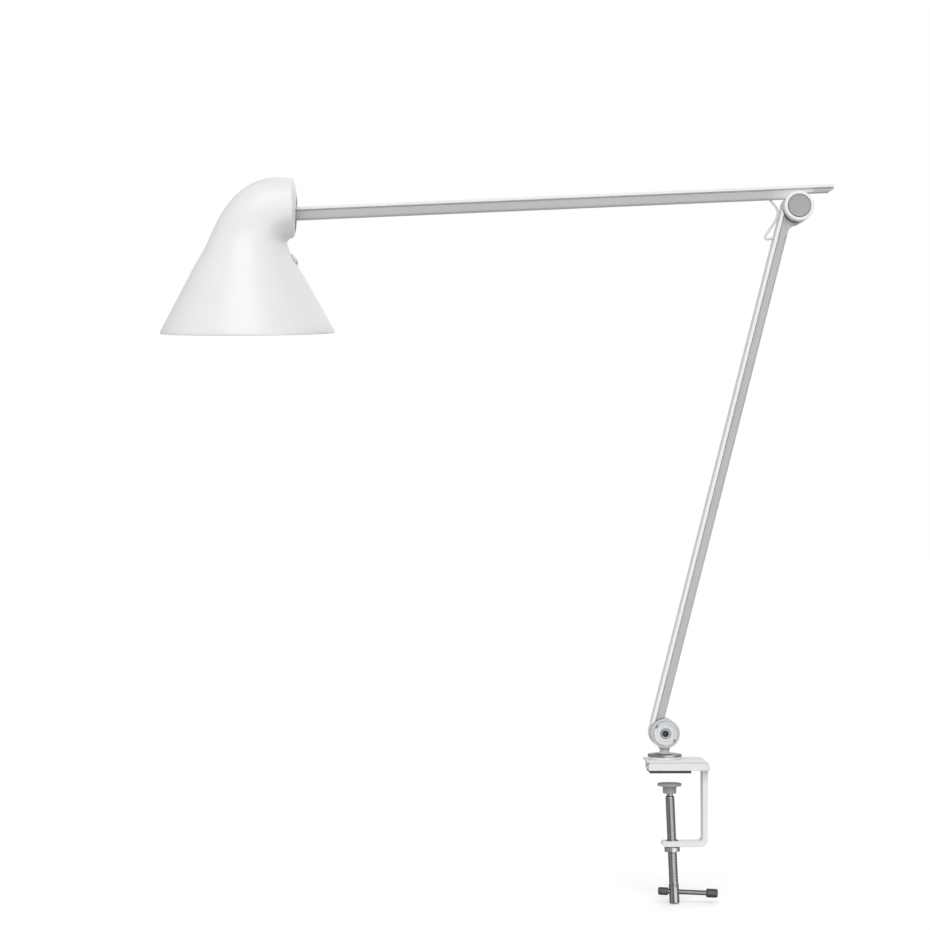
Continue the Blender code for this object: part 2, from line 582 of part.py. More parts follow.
loopMiddle = mm((-18.3, 0.4, 0.8), (-16.7, 1.2, -4.1), (-18.4, 2.6, -9.6), (-22.1, 3.8, -15.2))
loopMiddle += mm((-25.4, 4.6, -19.6), (-27.3, 5.0, -22.2), (-27.2, 5.2, -24.3), (-24.8, 5.2, -25.2))
loopPoints = [toElbow @ Vector(p) for p in loopStart + loopMiddle]
loopEnd = LOWER_ARM_LENGTH - CABLE_ENTRY_DROP
loopPoints += [Vector((x * MM, 5.2 * MM, loopEnd)) for x in (-13.4, -10.0, -7.2)]
cord("cable_elbow_loop", loopPoints, CABLE_RADIUS, "cable_jacket", lower)

# Head joint: a swivel pin in the arm's end and a tilt bolt through a bracket
ring("swivel_bush", 2.3 * MM, 3.1 * MM, 9.3 * MM, 25 * MM, "nylon", upper, swivelAt, ALONG_X)
pinProfile = [(0.0, 24.5 * MM), (2.0 * MM, 24.5 * MM), (2.0 * MM, 8.6 * MM), (6.4 * MM, 8.6 * MM)]
pinProfile += [(6.4 * MM, 7.0 * MM), (0.0, 7.0 * MM)]
swivelPin = turned("swivel_pin", pinProfile, "satin_aluminium", roll, turn=ALONG_X)
tongueOutline = mm((7.8, 5.0), (0.0, 5.6)) + arc((0, 0), 5.6 * MM, 110, 250, 9)
tongueOutline += mm((0.0, -5.6), (7.8, -5.0))
tongue = plate("tongue_shape", tongueOutline, -2.6 * MM, 2.6 * MM, None, roll, turn=TO_FRONT)
tiltHole = disc("tilt_hole", 2.2 * MM, -12 * MM, 12 * MM, None, head, turn=TO_FRONT)
combine(swivelPin, tongue, "UNION")
combine(swivelPin, tiltHole, "DIFFERENCE")

bracketOutline = mm((-19.0, 6.5)) + mm((0.0, 6.5)) + arc((0, 0), 6.5 * MM, 70, -70, 9)
bracketOutline += mm((0.0, -6.5), (-15.5, -6.5), (-15.5, -25.0), (-9.0, -25.0))
bracketOutline += mm((-9.0, -28.0), (-30.0, -28.0), (-30.0, -25.0), (-19.0, -25.0))
bracket = plate(
    "head_bracket", bracketOutline, -5.4 * MM, 5.4 * MM, "satin_aluminium", head, turn=TO_FRONT
)
slotOutline = mm((-15.2, -11.0), (12.0, -11.0), (12.0, 11.0), (-15.2, 11.0))
slot = plate("bracket_slot", slotOutline, -2.9 * MM, 2.9 * MM, None, head, turn=TO_FRONT)
combine(bracket, slot, "DIFFERENCE")
combine(bracket, tiltHole, "DIFFERENCE")
tiltProfile = [(0.0, 8.9 * MM), (2.8 * MM, 8.9 * MM), (3.4 * MM, 8.3 * MM), (3.4 * MM, 6.9 * MM)]
tiltProfile += [(1.9 * MM, 6.9 * MM), (1.9 * MM, -9.4 * MM), (0.0, -9.4 * MM)]
turned("tilt_bolt", tiltProfile, "dark_steel", head, turn=TO_FRONT)
hex_nut("tilt_nut", 2.2 * MM, 4.0 * MM, -9.2 * MM, -7.0 * MM, head, turn=TO_FRONT)
for label, height in (("front", 5.7), ("rear", -6.7)):
    ring(
        f"tilt_washer_{label}", 2.2 * MM, 4.2 * MM, height * MM, (height + 0.9) * MM,
        "bright_steel", head, turn=TO_FRONT,
    )

# Light source stacked on the shade's axis
axisAt = (SHADE_AXIS_X, 0, 0)
finProfile = mm((0.0, -28.3), (12.0, -28.3), (12.0, -33.0), (22.0, -33.0), (22.0, -35.0))
finProfile += mm((13.0, -35.0), (13.0, -38.0), (24.0, -38.0), (24.0, -40.0), (13.0, -40.0))
finProfile += mm((13.0, -43.0), (26.0, -43.0), (26.0, -45.0), (13.0, -45.0), (13.0, -48.0))
finProfile += mm((28.0, -48.0), (28.0, -53.0), (0.0, -53.0))
heatSink = turned("led_heat_sink", finProfile, "satin_aluminium", head, axisAt, steps=24)
disc("led_board", 24.0 * MM, -55.0 * MM, -53.3 * MM, "board", head, axisAt)
disc("led_array", 9.0 * MM, -56.4 * MM, -55.3 * MM, "phosphor", head, axisAt)
reflectorProfile = mm((13.2, -55.3), (44.6, -61.0), (44.6, -62.0), (43.5, -62.0), (12.0, -56.4))
reflectorProfile += mm((12.0, -55.3))
turned("reflector", reflectorProfile, "bright_steel", head, axisAt, steps=FINE_STEPS)
disc("diffuser", 44.8 * MM, -64.5 * MM, -62.3 * MM, "diffuser", head, axisAt, steps=FINE_STEPS)

rimSlope = (SHADE_RIM_RADIUS - 0.6 * MM - 43.8 * MM) / (SHADE_DEPTH - 4.5 * MM - 43.6 * MM)


def cone_radius(height):
    """Outer radius of the shade's cone at a height below the tilt bolt."""
    return 43.8 * MM + (-43.6 * MM - height) * rimSlope


ringTop, ringLow = -62.3 * MM, -66.6 * MM
ringIn = SHADE_WALL + 1.0 * MM
ringProfile = [(cone_radius(ringTop) - ringIn, ringTop), (cone_radius(ringLow) - ringIn, ringLow)]
ringProfile += mm((42.0, -66.6), (42.0, -64.8), (45.1, -64.8), (45.1, -62.3))
turned("diffuser_ring", ringProfile, "pale_plastic", head, axisAt, steps=FINE_STEPS)

for label, x in (("left", -25.6), ("right", -12.2)):
    screwAt = (x * MM, 0, 0)
    footProfile = mm((0.0, -22.9), (2.0, -22.9), (2.4, -23.3), (2.4, -24.7), (1.3, -24.7))
    footProfile += mm((1.3, -34.0), (0.0, -34.0))
    turned(f"bracket_screw_{label}", footProfile, "bright_steel", head, screwAt, steps=16)
    footHole = disc(f"foot_hole_{label}", 1.6 * MM, -34.4 * MM, -20 * MM, None, head, screwAt, steps=16)
    combine(bracket, footHole, "DIFFERENCE")
    combine(heatSink, footHole, "DIFFERENCE")

# Shade: sections fanned about the throat, from the neck's mouth down to the rim
RING_POINTS = 40
THROAT = Vector((16.2 * MM, 0.0, -23.4 * MM))
THROAT_RADIUS = 4.4 * MM
FAN_ANGLES = (0.0, 15.0, 30.0, 45.0, 60.0, 75.0, 90.0)
FAN_REACH = (70.4, 64.6, 61.6, 60.2, 58.4, 55.8, 53.2)


def section(centre, radius, direction):
    """A circle in the plane of a direction and local Y."""
    side = Vector((0.0, 1.0, 0.0))
    angles = [2.0 * math.pi * k / RING_POINTS for k in range(RING_POINTS)]
    return [centre + (direction * math.cos(a) + side * math.sin(a)) * radius for a in angles]


def shade_sections():
    """Circles from the neck's mouth, round the bend and down the cone to the rim."""
    neckX = 17.5 * MM
    up = Vector((0.0, 0.0, 1.0))
    left = Vector((-1.0, 0.0, 0.0))
    rows = [section(Vector((neckX, 0.0, 5.8 * MM)), NECK_RADIUS, up)]
    neckScale = NECK_RADIUS / (24.0 * MM)
    fit = np.polyfit(FAN_ANGLES, FAN_REACH, 4)
    for angle in (90.0 - 9.0 * step for step in range(11)):
        turnAngle = math.radians(angle)
        direction = Vector((-math.cos(turnAngle), 0.0, math.sin(turnAngle)))
        reach = float(np.polyval(fit, angle)) * MM
        middle = THROAT + direction * (reach + THROAT_RADIUS) / 2
        share = angle / 90.0
        radius = (reach - THROAT_RADIUS) / 2 * (1.0 + (neckScale - 1.0) * share)
        rows.append(section(middle, radius, direction))
    rimTop = -SHADE_DEPTH + 4.5 * MM
    for height, x, radius in (
        (-31.0 * MM, -22.2 * MM, 36.4 * MM),
        (-37.0 * MM, SHADE_AXIS_X, 39.9 * MM),
        (-43.6 * MM, SHADE_AXIS_X, 43.8 * MM),
        (-62.0 * MM, SHADE_AXIS_X, cone_radius(-62.0 * MM)),
        (rimTop, SHADE_AXIS_X, SHADE_RIM_RADIUS - 0.6 * MM),
        (rimTop - 1.2 * MM, SHADE_AXIS_X, SHADE_RIM_RADIUS),
        (-SHADE_DEPTH, SHADE_AXIS_X, SHADE_RIM_RADIUS),
    ):
        rows.append(section(Vector((x, 0.0, height)), radius, left))
    return rows


rows = shade_sections()
shadeMesh = bpy.data.meshes.new("shade_shell")
shadePoints = [tuple(point) for row in rows for point in row]
shadeFaces = []
for r in range(len(rows) - 1):
    for k in range(RING_POINTS):
        n = (k + 1) % RING_POINTS
        a, b = r * RING_POINTS, (r + 1) * RING_POINTS
        shadeFaces.append((a + k, a + n, b + n, b + k))
shadeMesh.from_pydata(shadePoints, [], shadeFaces)
shade = place(bpy.data.objects.new("shade_shell", shadeMesh), "white_paint", head)
smooth(shade)
wall = shade.modifiers.new("wall", "SOLIDIFY")
wall.thickness = SHADE_WALL
wall.offset = -1.0
wall.use_even_offset = True

# Domed cover in the neck's mouth, open in the middle for the arm to swing
coverOuter = NECK_RADIUS - SHADE_WALL - GAP
coverAt = (0, 0, 5.8 * MM)
coverProfile = mm((0.0, 20.9), (9.0, 20.7), (15.0, 20.0), (19.4, 18.9)) + [(coverOuter, 17.6 * MM)]
coverProfile += [(coverOuter, 16.6 * MM)] + mm((19.0, 17.5), (14.8, 18.5), (8.8, 19.2), (0.0, 19.4))
cover = turned("neck_cover", coverProfile, "white_paint", head, coverAt, ALONG_X, FINE_STEPS)
coverHole = disc("cover_hole", 15.0 * MM, 10 * MM, 30 * MM, None, head, turn=ALONG_X, steps=FINE_STEPS)
combine(cover, coverHole, "DIFFERENCE")

# Push switch on the back of the shade
surface = Vector((SHADE_AXIS_X + SWITCH_REACH, 0.0, SWITCH_HEIGHT))
buttonTurn = (0.0, math.pi / 2 - SWITCH_SLOPE, 0.0)
switchFrame = axis_frame("switch_axis", head, tuple(surface), buttonTurn)
switchHole = disc("switch_hole", BUTTON_RADIUS + 1.6 * MM, -6 * MM, 6 * MM, None, switchFrame)
combine(shade, switchHole, "DIFFERENCE")
bezelBore = BUTTON_RADIUS + GAP
bezelProfile = [(BUTTON_RADIUS + 1.5 * MM, 1.1 * MM), (BUTTON_RADIUS + 1.9 * MM, 0.8 * MM)]
bezelProfile += [(BUTTON_RADIUS + 1.9 * MM, 0.35 * MM), (BUTTON_RADIUS + 1.2 * MM, 0.35 * MM)]
bezelProfile += [(BUTTON_RADIUS + 1.2 * MM, -2.3 * MM), (bezelBore, -2.3 * MM), (bezelBore, 1.1 * MM)]
turned("switch_bezel", bezelProfile, "grey_plastic", switchFrame)
buttonProfile = [(0.0, 2.6 * MM), (BUTTON_RADIUS - 0.8 * MM, 2.5 * MM), (BUTTON_RADIUS, 1.8 * MM)]
buttonProfile += [(BUTTON_RADIUS, -1.0 * MM), (2.0 * MM, -1.0 * MM), (2.0 * MM, -6.0 * MM)]
buttonProfile += [(0.0, -6.0 * MM)]
turned("switch_button", buttonProfile, "pale_plastic", switchFrame)
bodyProfile = mm((0.0, -8.0), (2.3, -8.0), (2.3, -2.6), (5.6, -2.6), (5.6, -12.0), (0.0, -12.0))
turned("switch_body", bodyProfile, "rubber", switchFrame)
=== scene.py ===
import math

import bmesh
import bpy
import numpy as np
from mathutils import Matrix, Vector


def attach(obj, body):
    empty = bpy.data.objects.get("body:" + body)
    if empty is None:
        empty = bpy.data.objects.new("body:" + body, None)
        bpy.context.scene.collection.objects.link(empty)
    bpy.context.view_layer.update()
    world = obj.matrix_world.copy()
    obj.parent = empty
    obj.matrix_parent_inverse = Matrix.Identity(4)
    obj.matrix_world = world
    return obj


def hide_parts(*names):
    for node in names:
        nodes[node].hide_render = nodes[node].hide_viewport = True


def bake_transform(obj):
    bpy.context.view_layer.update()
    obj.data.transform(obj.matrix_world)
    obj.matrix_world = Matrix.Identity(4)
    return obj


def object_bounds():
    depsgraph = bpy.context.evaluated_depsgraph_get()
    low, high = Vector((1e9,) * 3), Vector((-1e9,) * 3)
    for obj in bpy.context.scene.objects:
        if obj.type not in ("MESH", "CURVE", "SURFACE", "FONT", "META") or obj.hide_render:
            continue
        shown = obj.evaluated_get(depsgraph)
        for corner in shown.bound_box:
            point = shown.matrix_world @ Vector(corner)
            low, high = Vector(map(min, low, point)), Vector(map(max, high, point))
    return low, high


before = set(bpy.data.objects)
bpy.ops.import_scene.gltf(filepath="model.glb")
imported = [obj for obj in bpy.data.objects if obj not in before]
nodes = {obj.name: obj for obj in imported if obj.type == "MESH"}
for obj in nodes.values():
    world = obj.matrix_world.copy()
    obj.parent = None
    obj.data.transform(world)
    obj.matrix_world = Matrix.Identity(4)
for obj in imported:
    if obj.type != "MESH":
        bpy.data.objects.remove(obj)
cadLow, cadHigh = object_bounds()
scene = bpy.context.scene
mm = 0.001
tau = 2.0 * math.pi
print("frame loaded:", len(nodes), "nodes")

# where the axes of the lamp are, the same as in its design
layout = {
    "pivotHeight": 31.3 * mm,
    "lowerLength": 445.5 * mm,
    "lowerLean": math.radians(14.48),
    "upperLength": 432.0 * mm,
    "upperRise": math.radians(2.65),
    "headRoll": math.radians(7.0),
    "headTilt": math.radians(1.35),
    "headHeight": 11.5 * mm,
    "screwAt": (5.7 * mm, 0.0, -58.0 * mm),
    "screwLean": math.radians(2.38),
    "barDrop": -39.1 * mm,
    "barDroop": math.radians(5.0),
    "shadeAxis": -22.5 * mm,
}


def move(x=0.0, y=0.0, z=0.0):
    return Matrix.Translation((x, y, z))


def turn(angle, axis):
    return Matrix.Rotation(angle, 4, axis)


toFront = turn(math.pi / 2, "X")  # local Z becomes -Y
alongX = turn(math.pi / 2, "Y")  # local Z becomes +X, local X becomes -Z
baseAt = Matrix.Identity(4)
lowerAt = move(z=layout["pivotHeight"]) @ turn(layout["lowerLean"], "Y")
elbowTurn = -layout["lowerLean"] - layout["upperRise"]
upperAt = lowerAt @ move(z=layout["lowerLength"]) @ turn(elbowTurn, "Y")
knuckleAt = upperAt @ move(-layout["upperLength"], 0, layout["headHeight"]) @ turn(layout["headRoll"], "X")
headAt = knuckleAt @ turn(layout["headTilt"], "Y")
screwAt = move(*layout["screwAt"]) @ turn(-layout["screwLean"], "Y")
barAt = screwAt @ move(z=layout["barDrop"]) @ turn(layout["barDroop"], "Y")


# shader graphs

class Wire:
    # one output of a node; sums, products and so on of wires add Math nodes
    def __init__(self, graph, socket):
        self.graph = graph
        self.socket = socket

    def maths(self, operation, *values):
        return self.graph.add("ShaderNodeMath", {"operation": operation}, dict(enumerate(values)))

    def __add__(self, other):
        return self.maths("ADD", self, other)

    def __radd__(self, other):
        return self.maths("ADD", other, self)

    def __sub__(self, other):
        return self.maths("SUBTRACT", self, other)

    def __rsub__(self, other):
        return self.maths("SUBTRACT", other, self)

    def __mul__(self, other):
        return self.maths("MULTIPLY", self, other)

    def __rmul__(self, other):
        return self.maths("MULTIPLY", other, self)

    def limited(self, low=0.0, high=1.0):
        return self.maths("MINIMUM", self.maths("MAXIMUM", self, low), high)


class Nodes:
    # any node tree; add is the one way that nodes are made
    def __init__(self, tree):
        self.tree = tree

    def add(self, kind, settings=None, inputs=None, output=0):
        node = self.tree.nodes.new(kind)
        for key, value in (settings or {}).items():
            if key == "stops":
                ramp = node.color_ramp.elements
                while len(ramp) < len(value):
                    ramp.new(0.5)
                for stop, (position, shade) in zip(ramp, value):
                    stop.position = position
                    stop.color = (shade, shade, shade, 1.0)
            else:
                setattr(node, key, value)
        for key, value in (inputs or {}).items():
            if isinstance(value, Wire):
                self.tree.links.new(value.socket, node.inputs[key])
            else:
                node.inputs[key].default_value = value
        return Wire(self, node.outputs[output]) if node.outputs else node


class Graph(Nodes):
    # the node tree of one material
    def __init__(self, name, metallic=0.0):
        self.material = bpy.data.materials.new(name)
        self.material.use_nodes = True
        super().__init__(self.material.node_tree)
        self.shader = self.tree.nodes["Principled BSDF"]
        self.place = self.add("ShaderNodeTexCoord", output="Object")
        self.feed(Metallic=metallic)

    def feed(self, **values):
        for key, value in values.items():
            socket = self.shader.inputs[key.replace("_", " ")]
            if isinstance(value, Wire):
                self.tree.links.new(value.socket, socket)
            else:
                socket.default_value = value

    def noise(self, scale, detail=3.0, roughness=0.55, where=None):
        values = {"Scale": scale, "Detail": detail, "Roughness": roughness, "Vector": where or self.place}
        return self.add("ShaderNodeTexNoise", {"noise_dimensions": "3D"}, values)

    def rings(self, spread, scale=1.0):
        # noise along one number, for turning marks
        values = {"W": spread, "Scale": scale, "Detail": 3.0}
        return self.add("ShaderNodeTexNoise", {"noise_dimensions": "1D"}, values)

    def ramp(self, factor, stops):
        return self.add("ShaderNodeValToRGB", {"stops": stops}, {"Fac": factor})

    def blendColour(self, factor, first, second):
        values = {0: factor}
        for key, shade in ((6, first), (7, second)):
            values[key] = shade if isinstance(shade, Wire) else (*shade, 1.0)
        return self.add("ShaderNodeMix", {"data_type": "RGBA"}, values, 2)

    def bump(self, height, strength, distance):
        values = {"Height": height, "Strength": strength, "Distance": distance}
        self.feed(Normal=self.add("ShaderNodeBump", None, values))

    def stretched(self, scale):
        values = {"Scale": scale, "Vector": self.place}
        return self.add("ShaderNodeMapping", {"vector_type": "TEXTURE"}, values)

    def vector(self, operation, first, second=None, output=0):
        values = {0: first} if second is None else {0: first, 1: second}
        return self.add("ShaderNodeVectorMath", {"operation": operation}, values, output)

    def along(self, at, axis):
        # how far a point lies along an axis
        offset = self.vector("SUBTRACT", self.place, tuple(at))
        return self.vector("DOT_PRODUCT", offset, tuple(axis), "Value")

    def away(self, at, axis):
        # how far a point lies from an axis
        offset = self.vector("SUBTRACT", self.place, tuple(at))
        across = self.vector("CROSS_PRODUCT", offset, tuple(axis))
        return self.vector("LENGTH", across, output="Value")


def darker(colour, share):
    return tuple(min(part * share, 1.0) for part in colour)


def sprayedTextures(graph):
    # broad clouds, dust specks, orange peel and smears
    fine = graph.noise(420.0, 2.0), graph.noise(1100.0, 2.0, 0.45)
    return (graph.noise(9.0, 4.0), *fine, graph.noise(26.0, 5.0, 0.6))


def coatedMetal(name, colour, grain=1.0, gloss=0.36):
    # sprayed powder coat: fine orange peel, a little dust and a faint unevenness of tone
    graph = Graph(name)
    cloud, speck, peel, smear = sprayedTextures(graph)
    warm = tuple(part * share for part, share in zip(colour, (0.955, 0.95, 0.935)))
    tone = graph.blendColour(graph.ramp(cloud, [(0.42, 0.0), (0.72, 0.55)]), colour, warm)
    dust = graph.ramp(speck, [(0.66, 0.0), (0.78, 0.28)])
    tone = graph.blendColour(dust, tone, darker(colour, 0.86))
    graph.feed(Base_Color=tone, Roughness=smear * 0.16 + (gloss - 0.08) + peel * 0.05)
    graph.feed(Coat_Weight=graph.ramp(smear, [(0.35, 0.02), (0.7, 0.12)]))
    graph.bump(peel * 0.8 + speck * 0.2, 0.22 * grain, 0.06 * mm)
    return graph.material


def armCoatAndShade(name, webGreyAndShade, at, acrossAxis, webStart, hubRadius=0.0, tailAxis=None):
    # white flange over a warm grey web, partly two-tone paint and partly painted shade; the front hub stays
    # white, and the web's grey fades into it as painted light
    graph = Graph(name)
    web = ((graph.along(at, acrossAxis) - webStart) * (1.0 / (0.5 * mm))).limited()
    # painted light: near the hub the grey fades out to white over about 15 mm, where the web turns toward the
    # light; on the tail it stays grey
    if tailAxis is not None:
        fade = ((graph.away(at, (0, 1, 0)) - hubRadius) * (1.0 / (15.0 * mm))).limited()
        tail = (graph.along(at, tailAxis) * (1.0 / (3.0 * mm)) - 3.6).limited()
        web = web * (fade + tail).limited()
    cloud, speck, peel, smear = sprayedTextures(graph)
    whitePatch = graph.ramp(cloud, [(0.42, 0.0), (0.72, 0.5)])
    white = graph.blendColour(whitePatch, paintTone, darker(paintTone, 0.955))
    greyPatch = graph.ramp(cloud, [(0.35, 0.0), (0.7, 1.0)])
    grey = graph.blendColour(greyPatch, webGreyAndShade, darker(webGreyAndShade, 0.93))
    tone = graph.blendColour(web, white, grey)
    dust = graph.ramp(speck, [(0.66, 0.0), (0.78, 0.25)])
    tone = graph.blendColour(dust, tone, (0.62, 0.61, 0.6))
    graph.feed(Base_Color=tone, Roughness=smear * 0.16 + peel * 0.05 + web * 0.08 + 0.27)
    graph.bump(peel * 0.8 + speck * 0.2, 0.22, 0.06 * mm)
    return graph.material


def turnedMetal(name, colour, at, axis, roughness=0.3, pitch=0.22 * mm, depth=0.35, wear=0.25, metallic=1.0):
    # lathe-turned metal: fine rings about an axis, with smudges that dull it
    graph = Graph(name, metallic=metallic)
    rings = graph.rings((graph.away(at, axis) + graph.along(at, axis)) * (1.0 / pitch))
    stain = graph.ramp(graph.noise(140.0, 4.0), [(0.45, 0.0), (0.75, wear)])
    tone = graph.blendColour(rings, darker(colour, 0.82), darker(colour, 1.08))
    tone = graph.blendColour(stain, tone, darker(colour, 0.6))
    graph.feed(Base_Color=tone, Roughness=rings * 0.16 + (roughness - 0.08) + stain * 0.3)
    graph.bump(rings, depth, 0.03 * mm)
    return graph.material


def socketBolt(name, colour, socketShade, at, axis, socketRadius):
    # turned bolt head; inside its socket the colour is darkened to near black as painted shade
    graph = Graph(name, metallic=1.0)
    radius = graph.away(at, axis)
    inside = ((socketRadius - radius) * (1.0 / (0.25 * mm))).limited()
    rings = graph.rings(radius * (1.0 / (0.2 * mm)), 5.0)
    tone = graph.blendColour(rings, darker(colour, 0.85), colour)
    tone = graph.blendColour(inside, tone, socketShade)
    smudge = graph.noise(180.0, 4.0)
    graph.feed(Base_Color=tone, Roughness=smudge * 0.2 + inside * 0.2 + 0.14)
    graph.bump(rings, 0.25, 0.03 * mm)
    return graph.material


def drawnMetal(name, colour, roughness=0.34, wear=0.3, stretch=(1, 1, 14)):
    # plain metal with drawing marks along one way and small scuffs
    graph = Graph(name, metallic=1.0)
    marks = graph.noise(1500.0, 3.0, 0.6, graph.stretched(stretch))
    scuff = graph.noise(210.0, 5.0, 0.65)
    worn = graph.ramp(scuff, [(0.5, 0.0), (0.72, wear)])
    tone = graph.blendColour(marks, darker(colour, 0.8), darker(colour, 1.15))
    tone = graph.blendColour(worn, tone, tuple(min(part * 1.9 + 0.03, 1.0) for part in colour))
    graph.feed(Base_Color=tone, Roughness=marks * 0.2 + (roughness - 0.1) + worn * 0.2)
    graph.bump(marks * 0.6 + scuff * 0.4, 0.35, 0.05 * mm)
    return graph.material


def mouldedPlastic(name, colour, roughness=0.45, grain=700.0, relief=0.3):
    # moulded plastic or rubber: spark-eroded grain and a slight bloom
    graph = Graph(name)
    texture = graph.noise(grain, 3.0)
    bloom = graph.noise(45.0, 4.0)
    patch = graph.ramp(bloom, [(0.4, 0.0), (0.75, 0.6)])
    tone = graph.blendColour(patch, colour, tuple(part * 0.88 + 0.012 for part in colour))
    pore = graph.ramp(texture, [(0.3, 0.35), (0.5, 0.0)])
    tone = graph.blendColour(pore, tone, darker(colour, 0.8))
    graph.feed(Base_Color=tone, Roughness=texture * 0.18 + (roughness - 0.09) + bloom * 0.06)
    graph.bump(texture, relief, 0.05 * mm)
    return graph.material


# mesh helpers; every piece is made in its own axes and then put where its matrix says

def fillet(points, radius, count=4, closed=False):
    # round the corners of an outline, and leave the ends of an open one
    result = []
    total = len(points)
    for i, point in enumerate(points):
        if not closed and i in (0, total - 1):
            result.append(tuple(point))
            continue
        here = Vector(point)
        before = Vector(points[i - 1]) - here
        after = Vector(points[(i + 1) % total]) - here
        if before.length < 1e-7 or after.length < 1e-7 or before.angle(after) > math.radians(172):
            result.append(tuple(point))
            continue
        reach = min(radius, before.length * 0.46, after.length * 0.46)
        start = here + before.normalized() * reach
        end = here + after.normalized() * reach
        for k in range(count + 1):
            t = k / count
            result.append(tuple(start * (1 - t) ** 2 + here * (2 * t * (1 - t)) + end * t ** 2))
    return result


def meshOf(name, vertices, faces, at=None):
    mesh = bpy.data.meshes.new(name)
    mesh.from_pydata([tuple(v) for v in vertices], [], faces)
    work = bmesh.new()
    work.from_mesh(mesh)
    bmesh.ops.remove_doubles(work, verts=work.verts, dist=1e-7)
    bmesh.ops.recalc_face_normals(work, faces=work.faces)
    work.to_mesh(mesh)
    work.free()
    if at is not None:
        mesh.transform(at)
    return mesh


def loft(name, rings, at=None, capped=True, joined=False):
    # skin a row of closed rings; joined goes back to the first ring, as a torus does
    count = len(rings[0])
    vertices = [v for ringPoints in rings for v in ringPoints]
    faces = []
    last = len(rings) if joined else len(rings) - 1
    for r in range(last):
        a, b = r * count, ((r + 1) % len(rings)) * count
        for k in range(count):
            n = (k + 1) % count
            faces.append((a + k, a + n, b + n, b + k))
    if capped and not joined:
        faces.append(tuple(range(count)))
        faces.append(tuple(range((len(rings) - 1) * count, len(rings) * count)))
    return meshOf(name, vertices, faces, at)


def lathe(name, profile, at, soft=0.25 * mm, sides=96, count=3):
    # turn (radius, height) points in millimetres about local Z
    points = [(r * mm, h * mm) for r, h in profile]
    closed = all(r > 0.0 for r, h in profile)
    points = fillet(points, soft, count, closed)
    rings = []
    for r, h in points:
        r = max(r, 1e-9)
        angles = [tau * k / sides for k in range(sides)]
        rings.append([(r * math.cos(angle), r * math.sin(angle), h) for angle in angles])
    return loft(name, rings, at, capped=False, joined=closed)


def prism(name, outline, low, high, at, soft=0.0, count=3):
    # extrude an outline in local XY, in millimetres, from low to high
    points = [(x * mm, y * mm) for x, y in outline]
    if soft:
        points = fillet(points, soft, count, True)
    rings = [[(x, y, h * mm) for x, y in points] for h in (low, high)]
    return loft(name, rings, at)


def tube(name, points, radius, at=None, sides=24):
    # a round tube along points, whose rings turn as little as they can
    path = [Vector(p) for p in points]
    ways = [(path[min(i + 1, len(path) - 1)] - path[max(i - 1, 0)]).normalized() for i in range(len(path))]
    side = ways[0].orthogonal().normalized()
    rings = []
    for point, way in zip(path, ways):
        side = (side - way * side.dot(way)).normalized()
        other = way.cross(side)
        rings.append(
            [
                point + (side * math.cos(tau * k / sides) + other * math.sin(tau * k / sides)) * radius
                for k in range(sides)
            ]
        )
    return loft(name, rings, at)


def carved(name, mesh, steps):
    # join and cut solids in order: ("UNION" or "DIFFERENCE", mesh)
    obj = bpy.data.objects.new(name, mesh)
    scene.collection.objects.link(obj)
    tools = []
    for operation, tool in steps:
        toolObj = bpy.data.objects.new(name + "Tool", tool)
        scene.collection.objects.link(toolObj)
        tools.append(toolObj)
        change = obj.modifiers.new("carve", "BOOLEAN")
        change.operation = operation
        change.solver = "EXACT"
        change.object = toolObj
    bpy.context.view_layer.update()
    result = bpy.data.meshes.new_from_object(obj.evaluated_get(bpy.context.evaluated_depsgraph_get()))
    for old in (obj, *tools):
        bpy.data.objects.remove(old)
    return result


def piece(name, mesh, material, body, *stoodFor, slot=None, edge=32.0, bevel=0.0):
    # a finished piece of the lamp that rides on a body and stands for its CAD nodes
    obj = bpy.data.objects.new(name, mesh)
    scene.collection.objects.link(obj)
    mesh.materials.clear()
    mesh.materials.append(material)
    mesh.shade_smooth()
    mesh.set_sharp_from_angle(angle=math.radians(edge))
    if bevel:
        softer = obj.modifiers.new("softEdges", "BEVEL")
        softer.width = bevel
        softer.segments = 3
        softer.limit_method = "ANGLE"
        softer.angle_limit = math.radians(35)
        softer.harden_normals = True
    if body:
        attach(obj, body)
    if stoodFor:
        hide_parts(*stoodFor)
    return obj


def refinish(material, *names, bevel=0.0):
    # a CAD node whose shape is right keeps it and gets its finish
    for name in names:
        obj = nodes[name]
        obj.data.materials.clear()
        obj.data.materials.append(material)
        for polygon in obj.data.polygons:
            polygon.use_smooth = False
        if bevel:
            softer = obj.modifiers.new("softEdges", "BEVEL")
            softer.width = bevel
            softer.segments = 2
            softer.limit_method = "ANGLE"
            softer.angle_limit = math.radians(40)


